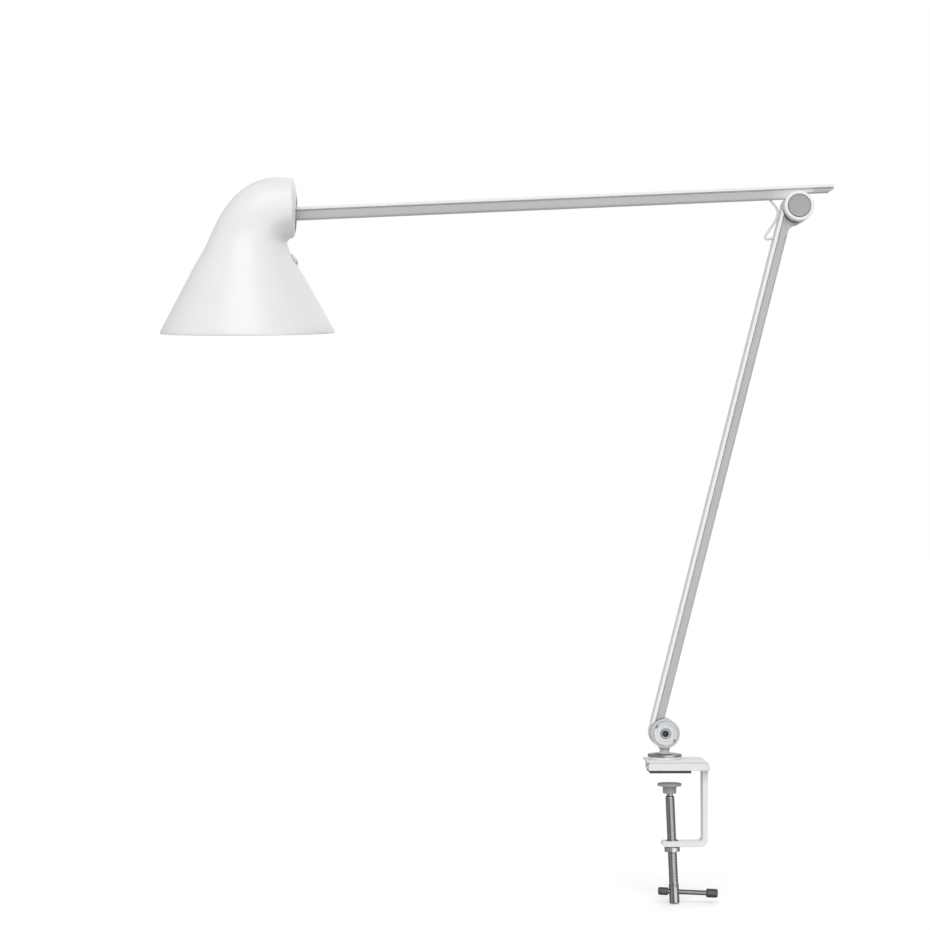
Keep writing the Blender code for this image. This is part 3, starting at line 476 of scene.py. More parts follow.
# finishes
paintTone = (0.84, 0.842, 0.842)
# web greys: partly paint, partly painted shade; the lower web, which faces right and away from the key light,
# is painted darker than the upper
lowerWebGreyAndShade = (0.52, 0.513, 0.503)
upperWebGreyAndShade = (0.625, 0.62, 0.61)
pivotLow = lowerAt.translation
pivotHigh = upperAt.translation
lowerTurn, upperTurn = lowerAt.to_3x3(), upperAt.to_3x3()
screwWay = screwAt.to_3x3() @ Vector((0, 0, 1))
shadeWay = headAt.to_3x3() @ Vector((0, 0, 1))
shadeCentre = headAt @ Vector((layout["shadeAxis"], 0, 0))
finish = {
    "shadePaint": coatedMetal("whiteShadeEnamel", (0.83, 0.835, 0.84), 0.7, 0.33),
    "castPaint": coatedMetal("whiteClampCoat", (0.78, 0.78, 0.775), 1.6, 0.42),
    # the lower arm's grey with painted shade also covers its rear hubs, which lie in shade
    "lowerCoatAndShade": armCoatAndShade("lowerArmCoatAndShade", lowerWebGreyAndShade, pivotLow, lowerTurn @ Vector((1, 0, 0)), -9.7 * mm),
    "upperCoatAndShade": armCoatAndShade("upperArmCoatAndShade", upperWebGreyAndShade, pivotHigh, upperTurn @ Vector((0, 0, -1)),
                         -13.8 * mm, 12.6 * mm, upperTurn @ Vector((1, 0, 0))),
    "casting": coatedMetal("greyHubCasting", (0.56, 0.56, 0.555), 3.0, 0.42),
    "palePaint": coatedMetal("paleNeckCover", (0.86, 0.86, 0.86), 1.0, 0.4),
    "capAlloy": turnedMetal("turnedPivotCap", (0.60, 0.615, 0.625), pivotLow, (0, 1, 0), 0.4, 0.25 * mm, 0.25,
                            0.15, 0.12),
    "bushAlloy": turnedMetal("turnedScrewBushing", (0.36, 0.335, 0.31), screwAt.translation, screwWay, 0.36),
    "pinAlloy": turnedMetal("turnedKnucklePin", (0.58, 0.59, 0.60), knuckleAt.translation,
                            (1, 0, 0.046), 0.3),
    "sinkAlloy": turnedMetal("turnedHeatSink", (0.62, 0.63, 0.65), shadeCentre, shadeWay, 0.4, 0.5 * mm),
    "reflectorAlloy": turnedMetal("spunReflector", (0.86, 0.86, 0.87), shadeCentre, shadeWay, 0.16, 0.4 * mm,
                                  0.15),
    "bracketAlloy": drawnMetal("milledBracket", (0.60, 0.61, 0.62), 0.38, 0.1),
    "screwSteel": turnedMetal("burnishedScrew", (0.22, 0.215, 0.21), screwAt.translation, screwWay, 0.15,
                              0.3 * mm, 0.12),
    "barSteel": drawnMetal("burnishedBar", (0.13, 0.128, 0.126), 0.3, 0.14, (14, 1, 1)),
    "collarSteel": turnedMetal("greyCollar", (0.27, 0.27, 0.27), (0, 0, 0), (0, 0, 1), 0.34, 0.2 * mm),
    # the second colour is painted shade inside the bolt's socket
    "boltSteel": socketBolt("burnishedPivotBolt", (0.24, 0.245, 0.255), (0.03, 0.032, 0.035), pivotLow,
                            (0, 1, 0), 2.9 * mm),
    "darkSteel": turnedMetal("burnishedBolt", (0.2, 0.205, 0.21), pivotHigh, (0, 1, 0), 0.3, 0.2 * mm),
    "zinc": drawnMetal("brightZinc", (0.52, 0.53, 0.56), 0.28, 0.15, (1, 1, 3)),
    "capPlastic": mouldedPlastic("greyCapPlastic", (0.37, 0.38, 0.38), 0.5, 900.0, 0.4),
    "padPlastic": mouldedPlastic("greyPadPlastic", (0.34, 0.333, 0.327), 0.48, 800.0, 0.5),
    "palePlastic": mouldedPlastic("palePlastic", (0.82, 0.825, 0.825), 0.42, 700.0, 0.25),
    "bezelPlastic": mouldedPlastic("paleBezelPlastic", (0.76, 0.765, 0.765), 0.45, 900.0, 0.3),
    "rubber": mouldedPlastic("blackRubber", (0.024, 0.024, 0.025), 0.62, 520.0, 0.6),
    "capRubber": mouldedPlastic("blackCapRubber", (0.045, 0.045, 0.047), 0.36, 420.0, 1.0),
    "blackPlastic": mouldedPlastic("blackPlastic", (0.025, 0.025, 0.026), 0.5, 600.0, 0.4),
    "nylon": mouldedPlastic("naturalNylon", (0.62, 0.60, 0.54), 0.48, 500.0, 0.25),
    "jacket": mouldedPlastic("cableJacket", (0.74, 0.75, 0.75), 0.42, 1200.0, 0.3),
    "opal": mouldedPlastic("opalDiffuser", (0.86, 0.86, 0.83), 0.4, 600.0, 0.35),
    "board": mouldedPlastic("whiteSolderMask", (0.74, 0.77, 0.73), 0.38, 380.0, 0.2),
    "phosphor": mouldedPlastic("yellowPhosphor", (0.82, 0.60, 0.10), 0.45, 900.0, 0.5),
}
print("finishes:", len(finish))

# shade: circles fanned round the throat, then the cone and a short upright rim, in one skin with the inside
shadeForm = {
    "sides": 144,
    "neckRadius": 24.0,
    "neckTop": 5.8,
    "neckX": 17.5,
    "throat": (16.2, -23.4),
    "throatRadius": 4.4,
    "fanAngles": (0.0, 15.0, 30.0, 45.0, 60.0, 75.0, 90.0),
    "fanReach": (70.4, 64.6, 61.6, 60.2, 58.4, 55.8, 53.2),
    "fanSteps": 36,
    "wall": 1.5,
    "rimRadius": 71.4,
    "depth": 96.0,
    "edgeHeight": 1.7,
    "coneTop": -43.6,
    "coneRadius": 43.8,
    "rimTurn": math.radians(0.9),
}
coneHeight = shadeForm["depth"] - shadeForm["edgeHeight"] + shadeForm["coneTop"]
rimSlope = (shadeForm["rimRadius"] - shadeForm["coneRadius"]) / coneHeight
slopeAngle = math.atan(rimSlope)
switchPlace = {"height": -36.6, "reach": 39.85, "slope": math.radians(29.41)}


def coneRadius(height):
    return shadeForm["coneRadius"] + (shadeForm["coneTop"] - height) * rimSlope


def levelled(point):
    # the rim's plane is turned a little against the cone's axis
    share = min(1.0, max(0.0, (shadeForm["coneTop"] - point.z) / coneHeight))
    drop = (point.x - layout["shadeAxis"] / mm) * math.tan(shadeForm["rimTurn"]) * share
    return point - Vector((0, 0, drop))


def shadeRings(shrink):
    # centre, radius and heading of each circle of the outside, or of the inside when shrunk by the wall
    form = shadeForm
    axis = layout["shadeAxis"] / mm
    throat = Vector((form["throat"][0], 0, form["throat"][1]))
    rows = [(Vector((form["neckX"], 0, form["neckTop"])), form["neckRadius"], Vector((0, 0, 1)))]
    fit = np.polyfit(form["fanAngles"], form["fanReach"], 4)
    for step in range(form["fanSteps"] + 1):
        angle = 90.0 * (1 - step / form["fanSteps"])
        way = Vector((-math.cos(math.radians(angle)), 0, math.sin(math.radians(angle))))
        reach = float(np.polyval(fit, angle))
        middle = throat + way * (reach + form["throatRadius"]) / 2
        rows.append((middle, (reach - form["throatRadius"]) / 2, way))
    left = Vector((-1, 0, 0))
    blend = [(-31.0, -22.2, 36.4), (-37.0, axis, 39.9), (form["coneTop"], axis, form["coneRadius"])]
    for height, x, radius in blend:
        rows.append((Vector((x, 0, height)), radius, left))
    for step in range(1, 9):
        height = form["coneTop"] - coneHeight * step / 8
        rows.append((Vector((axis, 0, height)), coneRadius(height), left))
    rings = []
    for index, (centre, radius, way) in enumerate(rows):
        if index > form["fanSteps"] + 1:
            radius -= shrink / math.cos(slopeAngle)
        else:
            radius -= shrink
        side = Vector((0, 1, 0))
        ring = []
        for k in range(form["sides"]):
            angle = tau * k / form["sides"]
            ring.append(levelled(centre + (way * math.cos(angle) + side * math.sin(angle)) * radius) * mm)
        rings.append(ring)
    return rings


outside = shadeRings(0.0)
inside = shadeRings(shadeForm["wall"])
# the rim ends in a short upright edge with rounded corners
rimOut, rimIn = shadeForm["rimRadius"], shadeForm["rimRadius"] - shadeForm["wall"]
rimLow, rimHigh = -shadeForm["depth"], shadeForm["edgeHeight"] - shadeForm["depth"]
edge = [(rimOut, rimHigh), (rimOut, rimLow), (rimIn, rimLow), (rimIn, rimHigh)]
rim = []
for radius, height in fillet(edge, 0.45, 3)[1:-1]:
    ring = []
    for k in range(shadeForm["sides"]):
        angle = tau * k / shadeForm["sides"]
        x = layout["shadeAxis"] / mm - radius * math.cos(angle)
        ring.append(levelled(Vector((x, radius * math.sin(angle), height))) * mm)
    rim.append(ring)
shadeMesh = loft("shadeMesh", outside + rim + inside[::-1], headAt, capped=False, joined=True)
switchAt = headAt @ move(layout["shadeAxis"] + switchPlace["reach"] * mm, 0, switchPlace["height"] * mm)
switchAt = switchAt @ turn(math.pi / 2 - switchPlace["slope"], "Y")
switchCut = lathe("switchCut", [(0, 6), (5.3, 6), (5.3, -6), (0, -6)], switchAt, 0.0, 64)
shadeMesh = carved("shadeCut", shadeMesh, [("DIFFERENCE", switchCut)])
piece("shadeBell", shadeMesh, finish["shadePaint"], "head", "shade_shell", slot="painted_aluminium", edge=40)
print("shade made:", len(shadeMesh.polygons), "faces")

# arms: a flat flange over a tapering web, rounded hubs at the pivots
armForm = {
    "flangeDepth": 16.0,
    "flangeThickness": 2.55,
    "webHeight": 7.45,
    "webRoot": 12.8,
    "webEdge": 7.2,
    "groove": 0.8,
    "lowerFlange": 12.45,
    "upperFlange": 16.5,
    "lowerSectionY": 6.5,
    "tail": 29.2,
    "edgeRadius": 0.5 * mm,
}
pivotForm = {
    "split": 6.5,
    "front": -7.0,
    "rear": 19.0,
    "baseHub": 11.85,
    "elbowHub": 12.2,
    "lowSweep": 12.25,
    "topSweep": 13.5,
    "lowCap": 9.8,
    "topCap": 9.05,
    "boltRadius": 2.5,
    "headRadius": 3.85,
    "gap": 0.3,
    "halfGap": 0.15,
}
frontSplit = pivotForm["split"] - pivotForm["halfGap"]
rearSplit = pivotForm["split"] + pivotForm["halfGap"]
lowerLength = layout["lowerLength"] / mm
upperLength = layout["upperLength"] / mm
pivotZ = layout["pivotHeight"] / mm
basePivot = baseAt @ move(z=layout["pivotHeight"]) @ toFront
lowerPivot = lowerAt @ toFront
topPivot = lowerAt @ move(z=layout["lowerLength"]) @ toFront
elbowPivot = upperAt @ toFront


def armSection(outer, centre):
    arm = armForm
    root = -outer + arm["flangeThickness"]
    edge = root + arm["webHeight"]
    wide, narrow = arm["webRoot"] / 2, arm["webEdge"] / 2
    half = [(-outer, arm["flangeDepth"] / 2), (root, arm["flangeDepth"] / 2), (root, wide - 1.2)]
    half += [(root + arm["groove"], wide - 1.2), (root + arm["groove"], wide)]
    half += [(edge - 0.8, narrow + 0.3), (edge, narrow - 0.6)]
    whole = half + [(x, -y) for x, y in reversed(half)]
    return [(x, y + centre) for x, y in whole]


def armHollow(outer, centre):
    root = -outer + armForm["flangeThickness"] + 1.5
    edge = root + armForm["webHeight"] - 3.0
    wide = armForm["webRoot"] / 2 - 2.2
    narrow = armForm["webEdge"] / 2 - 1.2
    return [(root, centre - wide), (root, centre + wide), (edge, centre + narrow), (edge, centre - narrow)]


def arcPoints(centre, radius, start, end, count):
    return [
        (centre[0] + radius * math.cos(a), centre[1] + radius * math.sin(a))
        for a in np.radians(np.linspace(start, end, count)).tolist()
    ]


def hub(name, radius, start, end, at):
    # half of a pivot between two depths, its outer edges broken
    return lathe(name, [(0, -start), (radius, -start), (radius, -end), (0, -end)], at, 0.7 * mm, 128, 5)


def frontBore(at, capHole, recess):
    gap, split = pivotForm["gap"], -pivotForm["split"]
    face = -pivotForm["front"]
    seat = face - (0.4 if capHole else 2.6) - 3.2
    head, shank = pivotForm["headRadius"] + gap, pivotForm["boltRadius"] + gap
    profile = [(0, face + 5), (recess, face + 5), (recess, face - 2.2), (head, face - 2.2)]
    profile += [(head, seat - gap), (shank, seat - gap), (shank, split - 5), (0, split - 5)]
    return lathe("frontBore", profile, at, 0.0, 128)


def rearBore(at, recess):
    rear, split = -pivotForm["rear"], -pivotForm["split"]
    shank = pivotForm["boltRadius"] + pivotForm["gap"]
    profile = [(0, split + 5), (9.3, split + 5), (9.3, split - 1.45), (shank, split - 1.45), (shank, -11.6)]
    profile += [(6.8, -11.6), (6.8, rear + 2.2), (recess, rear + 2.2), (recess, rear - 5), (0, rear - 5)]
    return lathe("rearBore", profile, at, 0.0, 128)


# lower arm
webEdge = -armForm["lowerFlange"] + armForm["flangeThickness"] + armForm["webHeight"]
flareLow = lowerLength - 22.0
flare = [(webEdge - 6, flareLow - 14), (webEdge - 0.3, flareLow - 1.5)]
flare += arcPoints((webEdge + 9.6, flareLow - 0.6), 9.9, 176, 106, 12)
flare += [(webEdge + 7.5, flareLow + 16), (webEdge - 6, flareLow + 16)]
sweepEnd = pivotForm["split"] + 0.4
sweepLow, sweepTop = [
    [(0, 9), (radius, 9), (radius, -sweepEnd), (0, -sweepEnd)]
    for radius in (pivotForm["lowSweep"], pivotForm["topSweep"])
]
section = armSection(armForm["lowerFlange"], armForm["lowerSectionY"])
lowerMesh = prism("lowerArm", section, 5.0, lowerLength - 5.0, lowerAt, armForm["edgeRadius"])
hollow = armHollow(armForm["lowerFlange"], armForm["lowerSectionY"])
cableEntry = {"y": 5.2 * mm, "z": layout["lowerLength"] - 29.6 * mm}
entryAt = lowerAt @ move(0, cableEntry["y"], cableEntry["z"]) @ alongX
lowerMesh = carved(
    "lowerArm",
    lowerMesh,
    [
        ("UNION", prism("flare", flare, -14.0, -1.6, lowerPivot, 0.0)),
        ("DIFFERENCE", lathe("sweepLow", sweepLow, lowerPivot, 0.0, 128)),
        ("DIFFERENCE", lathe("sweepTop", sweepTop, topPivot, 0.0, 128)),
        ("UNION", hub("hubTop", pivotForm["elbowHub"], rearSplit, pivotForm["rear"], topPivot)),
        ("UNION", hub("hubLow", pivotForm["baseHub"], rearSplit, pivotForm["rear"], lowerPivot)),
        ("DIFFERENCE", prism("channel", hollow, 9.5, lowerLength - 23.0, lowerAt)),
        ("DIFFERENCE", lathe("entry", [(0, -6.5), (1.55, -6.5), (1.55, -16), (0, -16)], entryAt, 0.0, 32)),
        ("DIFFERENCE", rearBore(lowerPivot, pivotForm["lowCap"] + pivotForm["gap"])),
        ("DIFFERENCE", rearBore(topPivot, pivotForm["topCap"] + 0.7)),
    ],
)
piece("lowerArmCast", lowerMesh, finish["lowerCoatAndShade"], "lower_arm_body", "lower_arm",
      slot="painted_aluminium")

# upper arm, with its short tail past the elbow
section = armSection(armForm["upperFlange"], 0.0)
upperMesh = prism("upperArm", section, 9.0 - upperLength, armForm["tail"], upperAt @ alongX,
                  armForm["edgeRadius"])
tailCut = [(3.0, 3.0), (34.0, 3.0), (34.0, 14.2), (28.2, 12.6), (26.2, 10.9), (3.0, 10.9)]
hollow = armHollow(armForm["upperFlange"], 0.0)
exitAt = upperAt @ move(-22.6 * mm, 0, 0)
knuckleHole = upperAt @ move(-layout["upperLength"], 0, layout["headHeight"]) @ alongX
upperMesh = carved(
    "upperArm",
    upperMesh,
    [
        ("DIFFERENCE", prism("tailCut", tailCut, -9, 9, elbowPivot)),
        ("UNION", hub("hub", pivotForm["elbowHub"], pivotForm["front"], frontSplit, elbowPivot)),
        ("DIFFERENCE", prism("channel", hollow, 27.0 - upperLength, -19.5, upperAt @ alongX)),
        ("DIFFERENCE", lathe("exit", [(0, 9.5), (1.65, 9.5), (1.65, 3), (0, 3)], exitAt, 0.0, 32)),
        ("DIFFERENCE", lathe("pinHole", [(0, 28), (3.4, 28), (3.4, 5), (0, 5)], knuckleHole, 0.0, 48)),
        ("DIFFERENCE", frontBore(elbowPivot, False, pivotForm["topCap"] + 0.7)),
    ],
)
piece("upperArmCast", upperMesh, finish["upperCoatAndShade"], "upper_arm_body", "upper_arm",
      slot="painted_aluminium")
print("arms made")

# swivel base: stem and the front half of the lower pivot
stemForm = {"radius": 3.9, "pin": 3.3, "soft": 0.5 * mm}
stemTop = pivotZ - pivotForm["baseHub"]
stemProfile = [(0, stemTop + 3), (5.8, stemTop + 3), (5.2, stemTop + 0.6), (4.3, stemTop - 0.5)]
stemProfile += [(stemForm["radius"], stemTop - 1.3), (stemForm["radius"], 16.7), (4.6, 15.7), (6.6, 15.0)]
stemProfile += [(stemForm["pin"], 15.0), (stemForm["pin"], 4.9), (0, 4.9)]
housing = carved(
    "housing",
    lathe("stem", stemProfile, baseAt, stemForm["soft"], 96, 4),
    [
        ("UNION", hub("barrel", pivotForm["baseHub"], pivotForm["front"], frontSplit, basePivot)),
        ("DIFFERENCE", frontBore(basePivot, True, pivotForm["lowCap"] + pivotForm["gap"])),
        ("DIFFERENCE", lathe("stemBore", [(0, 12.6), (1.8, 12.6), (1.8, 2), (0, 2)], baseAt, 0.0, 40)),
    ],
)
piece("swivelHousing", housing, finish["casting"], "swivel_base", "base_housing", slot="cast_aluminium")
collar = [(13.85, 14.5), (13.85, 12.6), (3.6, 12.6), (3.6, 14.9), (7.0, 14.9)]
piece("baseCollarRing", lathe("collar", collar, baseAt, 0.35 * mm), finish["collarSteel"], "swivel_base",
      "base_collar", slot="dark_steel")

spacer = [(13.2, 12.5), (13.2, 10.7), (5.2, 10.7), (5.2, 12.5)]
piece("collarSpacer", lathe("spacer", spacer, baseAt, 0.2 * mm), finish["palePaint"], "clamp",
      "collar_washer", slot="pale_plastic")

# pivot caps and the bolt seen in the lower one
capForm = {"radius": 9.8, "topRadius": 9.05, "notchAngles": (142.0, -38.0), "notchRadius": 1.5}
face = -pivotForm["front"]
headRoom = pivotForm["headRadius"] + pivotForm["gap"]
capEdge = capForm["radius"]
lowCap = [(capEdge, face + 0.3), (capEdge, face - 1.9), (headRoom, face - 1.9), (headRoom, face - 0.1)]
lowCap += [(headRoom + 0.9, face + 0.05), (capEdge - 2.1, face + 0.05), (capEdge - 1.5, face + 0.3)]
notches = []
for degrees in capForm["notchAngles"]:
    away, angle = capForm["radius"] - 0.2, math.radians(degrees)
    notchAt = basePivot @ move(away * math.cos(angle) * mm, away * math.sin(angle) * mm)
    notch = [(0, 10), (capForm["notchRadius"], 10), (capForm["notchRadius"], 4), (0, 4)]
    notches.append(("DIFFERENCE", lathe("notch", notch, notchAt, 0.0, 32)))
lowCapMesh = carved("lowCap", lathe("lowCap", lowCap, basePivot, 0.22 * mm, 128), notches)
piece("lowerPivotCap", lowCapMesh, finish["capAlloy"], "swivel_base", "base_pivot_front_cap",
      slot="bare_aluminium")
rear = -pivotForm["rear"]


def rearCap(radius):
    profile = [(0, rear + 1.9), (radius, rear + 1.9), (radius, rear - 0.3), (radius - 1.6, rear - 0.3)]
    return profile + [(radius - 2.2, rear - 0.05), (0, rear - 0.05)]


piece("lowerRearCap", lathe("rearCap", rearCap(capForm["radius"]), lowerPivot, 0.25 * mm, 128),
      finish["capAlloy"], "lower_arm_body", "base_pivot_rear_cap", slot="bare_aluminium")
piece("elbowRearCap", lathe("rearCap", rearCap(capForm["topRadius"]), topPivot, 0.25 * mm, 128),
      finish["capPlastic"], "lower_arm_body", "elbow_rear_cap", slot="grey_plastic")
capEdge = capForm["topRadius"]
frontCap = [(0, face + 0.1), (capEdge - 1.5, face + 0.1), (capEdge - 1.0, face + 0.3)]
frontCap += [(capEdge, face + 0.3), (capEdge, face - 1.9), (0, face - 1.9)]
piece("elbowFrontCap", lathe("frontCap", frontCap, elbowPivot, 0.25 * mm, 128), finish["capPlastic"],
      "upper_arm_body", "elbow_front_cap", slot="grey_plastic")
boltForm = {"sunk": 0.4, "headHeight": 3.2, "socketRadius": 2.95, "socketDepth": 2.4}
boltTop = face - boltForm["sunk"]
seat = boltTop - boltForm["headHeight"]
head, shank = pivotForm["headRadius"], pivotForm["boltRadius"]
boltProfile = [(0, boltTop), (head, boltTop), (head, seat), (shank, seat)]
boltProfile += [(shank, rear + 3.2), (0, rear + 3.2)]
socketSides = arcPoints((0, 0), boltForm["socketRadius"], 0, 300, 6)
socket = prism("socket", socketSides, boltTop - boltForm["socketDepth"], boltTop + 1, basePivot)
boltMesh = carved("bolt", lathe("bolt", boltProfile, basePivot, 0.5 * mm, 64), [("DIFFERENCE", socket)])
piece("lowerPivotBolt", boltMesh, finish["boltSteel"], "swivel_base", "base_pivot_bolt", slot="dark_steel")
print("pivots made")

# desk clamp: top plate, leg and jaw arm in one casting
clampForm = {
    "plateTop": 10.6, "plateBottom": 2.1, "plateDepth": 32.0, "left": -16.0, "right": 34.9,
    "legThickness": 4.9, "legDepth": 14.0, "jawTop": -55.8, "jawHeight": 4.4, "edge": 0.4 * mm,
    "lip": 0.8, "lipHeight": 1.9, "endLip": 1.6,
}
left, right, plateTop = clampForm["left"], clampForm["right"], clampForm["plateTop"]
jawTop, plateHalf, legHalf = clampForm["jawTop"], clampForm["plateDepth"] / 2, clampForm["legDepth"] / 2
legLeft = right - clampForm["legThickness"]
jawLow = jawTop - clampForm["jawHeight"]
topPlate = [(left, clampForm["plateBottom"]), (right, clampForm["plateBottom"])]
topPlate += arcPoints((right - 5, plateTop - 5), 5, 0, 90, 16) + [(left, plateTop)]
leg = [(legLeft, clampForm["plateBottom"] + 3)]
leg += arcPoints((legLeft - 3, jawTop + 3), 3, 0, -90, 12)
leg += arcPoints((-0.5, (jawTop + jawLow) / 2), clampForm["jawHeight"] / 2, 90, 270, 20)
leg += arcPoints((right - 6.5, jawLow + 5.5), 5.5, -90, 0, 16)
leg += [(right - 0.2, clampForm["plateBottom"] + 3)]
lipLow = plateTop - clampForm["lipHeight"]
recess = [(left - 2, 0), (right - 1.6, 0), (right - 1.6, 6.2), (right - 3.4, lipLow), (left - 2, lipLow)]
endEdge = left + clampForm["endLip"]
endRecess = [(left - 2, 0), (endEdge, 0), (endEdge, lipLow), (left - 2, lipLow)]
plateAt = baseAt @ toFront
clampMesh = carved(
    "clamp",
    prism("plate", topPlate, -plateHalf, plateHalf, plateAt),
    [
        ("DIFFERENCE", prism("frontRecess", recess, plateHalf - clampForm["lip"], 20, plateAt)),
        ("DIFFERENCE", prism("rearRecess", recess, -20, clampForm["lip"] - plateHalf, plateAt)),
        ("DIFFERENCE", prism("endRecess", endRecess, -20, 20, plateAt)),
        ("UNION", prism("leg", leg, -legHalf, legHalf, plateAt)),
        ("DIFFERENCE", lathe("hole", [(0, 20), (4.9, 20), (4.9, 0), (0, 0)], baseAt, 0.0, 64)),
        ("DIFFERENCE", lathe("pocket", [(0, 5.2), (7, 5.2), (7, 1), (0, 1)], baseAt, 0.0, 64)),
        ("DIFFERENCE", lathe("bushHole", [(0, 8), (5.38, 8), (5.38, -8), (0, -8)], screwAt, 0.0, 64)),
    ],
)
piece("clampCasting", clampMesh, finish["castPaint"], "clamp", "clamp_frame", slot="painted_steel",
      bevel=clampForm["edge"])

padForm = {"left": -13.5, "right": 20.0, "top": 1.8, "halfDepth": 14.0, "ribs": 16, "ribDepth": 0.35}
left, right, top, half = padForm["left"], padForm["right"], padForm["top"], padForm["halfDepth"]
step = (right - left) / padForm["ribs"]
padSide = [(left, top)]
for i in range(padForm["ribs"]):
    x = left + i * step
    padSide += [(x + 0.12 * step, 0.0), (x + 0.78 * step, 0.0), (x + 0.89 * step, padForm["ribDepth"])]
padSide += [(right, 0.0), (right, top)]
padMesh = prism("pad", padSide, -half, half, plateAt, 0.1 * mm, 2)
piece("topPadRibbed", padMesh, finish["rubber"], "clamp", "clamp_top_pad", slot="black_rubber")

bushing = [(5.08, 2.8), (5.08, -2.9), (6.28, -2.9), (6.28, -6.5), (3.98, -6.5), (3.98, 2.8)]
piece("screwBushing", lathe("bushing", bushing, screwAt, 0.35 * mm), finish["bushAlloy"], "clamp",
      "screw_bushing", slot="bare_aluminium")

# clamp screw: a real helical thread between the tip and the head
thread = {"radius": 3.68, "pitch": 1.25, "depth": 0.16, "top": 37.4, "low": -31.6, "sides": 40, "rows": 8}


def threadRings():
    rings = []
    heights = [45.2, 45.0, 44.2, 43.4, 41.0, 38.6, 38.0]
    radii = [0.0005, 1.6, 2.15, 2.6, 2.6, 2.6, thread["radius"] - thread["depth"]]
    for height, radius in zip(heights, radii):
        rings.append([(radius, height)] * thread["sides"])
    turns = (thread["top"] - thread["low"]) / thread["pitch"]
    count = int(turns * thread["rows"])
    for i in range(count + 1):
        height = thread["top"] - (thread["top"] - thread["low"]) * i / count
        fade = min(1.0, (height - thread["low"]) / thread["pitch"])
        ring = []
        for j in range(thread["sides"]):
            phase = (height / thread["pitch"] - j / thread["sides"]) % 1.0
            ridge = min(1.0, max(0.0, abs(2.0 * phase - 1.0) * 2.6 - 1.5))
            ring.append((thread["radius"] - thread["depth"] * ridge * fade, height))
        rings.append(ring)
    shoulder = [(thread["radius"], -32.6), (4.1, -33.0), (4.1, -34.0), (2.0, -34.0), (0.0005, -34.0)]
    for radius, height in shoulder:
        rings.append([(radius, height)] * thread["sides"])
    return [
        [(r * mm * math.cos(tau * j / thread["sides"]), r * mm * math.sin(tau * j / thread["sides"]), h * mm)
         for j, (r, h) in enumerate(ring)]
        for ring in rings
    ]


headProfile = [(0, -34.0), (4.1, -34.0), (4.1, -48.3), (0, -48.3)]
boreAt = screwAt @ move(z=layout["barDrop"]) @ alongX
barBore = lathe("barBore", [(0, 9), (2.5, 9), (2.5, -9), (0, -9)], boreAt, 0.0, 48)
screwHead = carved("screwHead", lathe("head", headProfile, screwAt, 0.8 * mm, 64), [("DIFFERENCE", barBore)])
joinedMesh = bmesh.new()
joinedMesh.from_mesh(screwHead)
joinedMesh.from_mesh(loft("thread", threadRings(), screwAt, capped=False))
screwMesh = bpy.data.meshes.new("screwMesh")
joinedMesh.to_mesh(screwMesh)
joinedMesh.free()
piece("clampScrewThreaded", screwMesh, finish["screwSteel"], "screw", "clamp_screw", slot="dark_steel",
      edge=40)

barForm = {"radius": 2.0, "start": -10.0, "end": 32.5, "shortCap": 3.2, "longCap": 3.6}
barLine = barAt @ alongX
barEnd, barStart, barRadius = barForm["end"], barForm["start"], barForm["radius"]
rod = [(0, barEnd), (barRadius, barEnd), (barRadius, barStart), (0, barStart)]
piece("tommyBarRod", lathe("bar", rod, barLine, 0.4 * mm), finish["barSteel"], "bar", "tommy_bar",
      slot="dark_steel")
wide = barForm["longCap"]
longCap = [(0, 35.4), (3.2, 35.4), (wide, 33.8), (wide, 27.0), (3.3, 26.4), (2.3, 26.4), (2.3, 32.8)]
longCap += [(0, 32.8)]
wide = barForm["shortCap"]
shortCap = [(0, -10.3), (2.3, -10.3), (2.3, -4.9), (2.9, -4.9), (wide, -5.5), (wide, -11.4), (2.8, -12.9)]
shortCap += [(0, -12.9)]
piece("barCapLong", lathe("cap", longCap, barLine, 0.6 * mm, 64, 4), finish["capRubber"], "bar",
      "bar_cap_long", slot="black_rubber")
piece("barCapShort", lathe("cap", shortCap, barLine, 0.6 * mm, 64, 4), finish["capRubber"], "bar",
      "bar_cap_short", slot="black_rubber")

padAt = baseAt @ move(layout["screwAt"][0] - 44 * mm * math.sin(layout["screwLean"]), 0, 0)
pressPad = [(0, -9.3), (9.8, -9.3), (9.8, -11.4), (5.6, -11.5), (5.5, -17.5), (3.2, -17.5), (3.2, -12.4)]
pressPad += [(0, -12.4)]
piece("pressurePadDisc", lathe("pad", pressPad, padAt, 0.4 * mm, 96, 4), finish["padPlastic"], "pad_slide",
      "pressure_pad", slot="grey_plastic")
print("clamp made")

# cable loop from the upper arm into the lower one, limp, bending at the elbow
cableForm = {"radius": 1.05 * mm, "sides": 24}
upperKnots = [(-27.8, 0, 10.1), (-24.6, 0, 9.6), (-22.7, 0, 7.4), (-21.9, 0, 5.0), (-18.3, 0.4, 0.8)]
upperKnots += [(-16.7, 1.2, -4.1), (-18.4, 2.6, -9.6), (-22.1, 3.8, -15.2), (-25.4, 4.6, -19.6)]
upperKnots += [(-27.3, 5.0, -22.2), (-27.2, 5.2, -24.3), (-24.8, 5.2, -25.2)]
knots = [upperAt @ (Vector(q) * mm) for q in upperKnots]
knots += [lowerAt @ Vector((x * mm, cableEntry["y"], cableEntry["z"])) for x in (-13.4, -10.0, -7.2)]


def smoothPath(points, perSpan=8):
    # a curve through all the points
    path = []
    for i in range(len(points) - 1):
        p0, p1, p2 = points[max(i - 1, 0)], points[i], points[i + 1]
        p3 = points[min(i + 2, len(points) - 1)]
        for k in range(perSpan):
            u = k / perSpan
            path.append(0.5 * (2 * p1 + (p2 - p0) * u + (2 * p0 - 5 * p1 + 4 * p2 - p3) * u ** 2
                               + (3 * p1 - p0 - 3 * p2 + p3) * u ** 3))
    return path + [points[-1]]


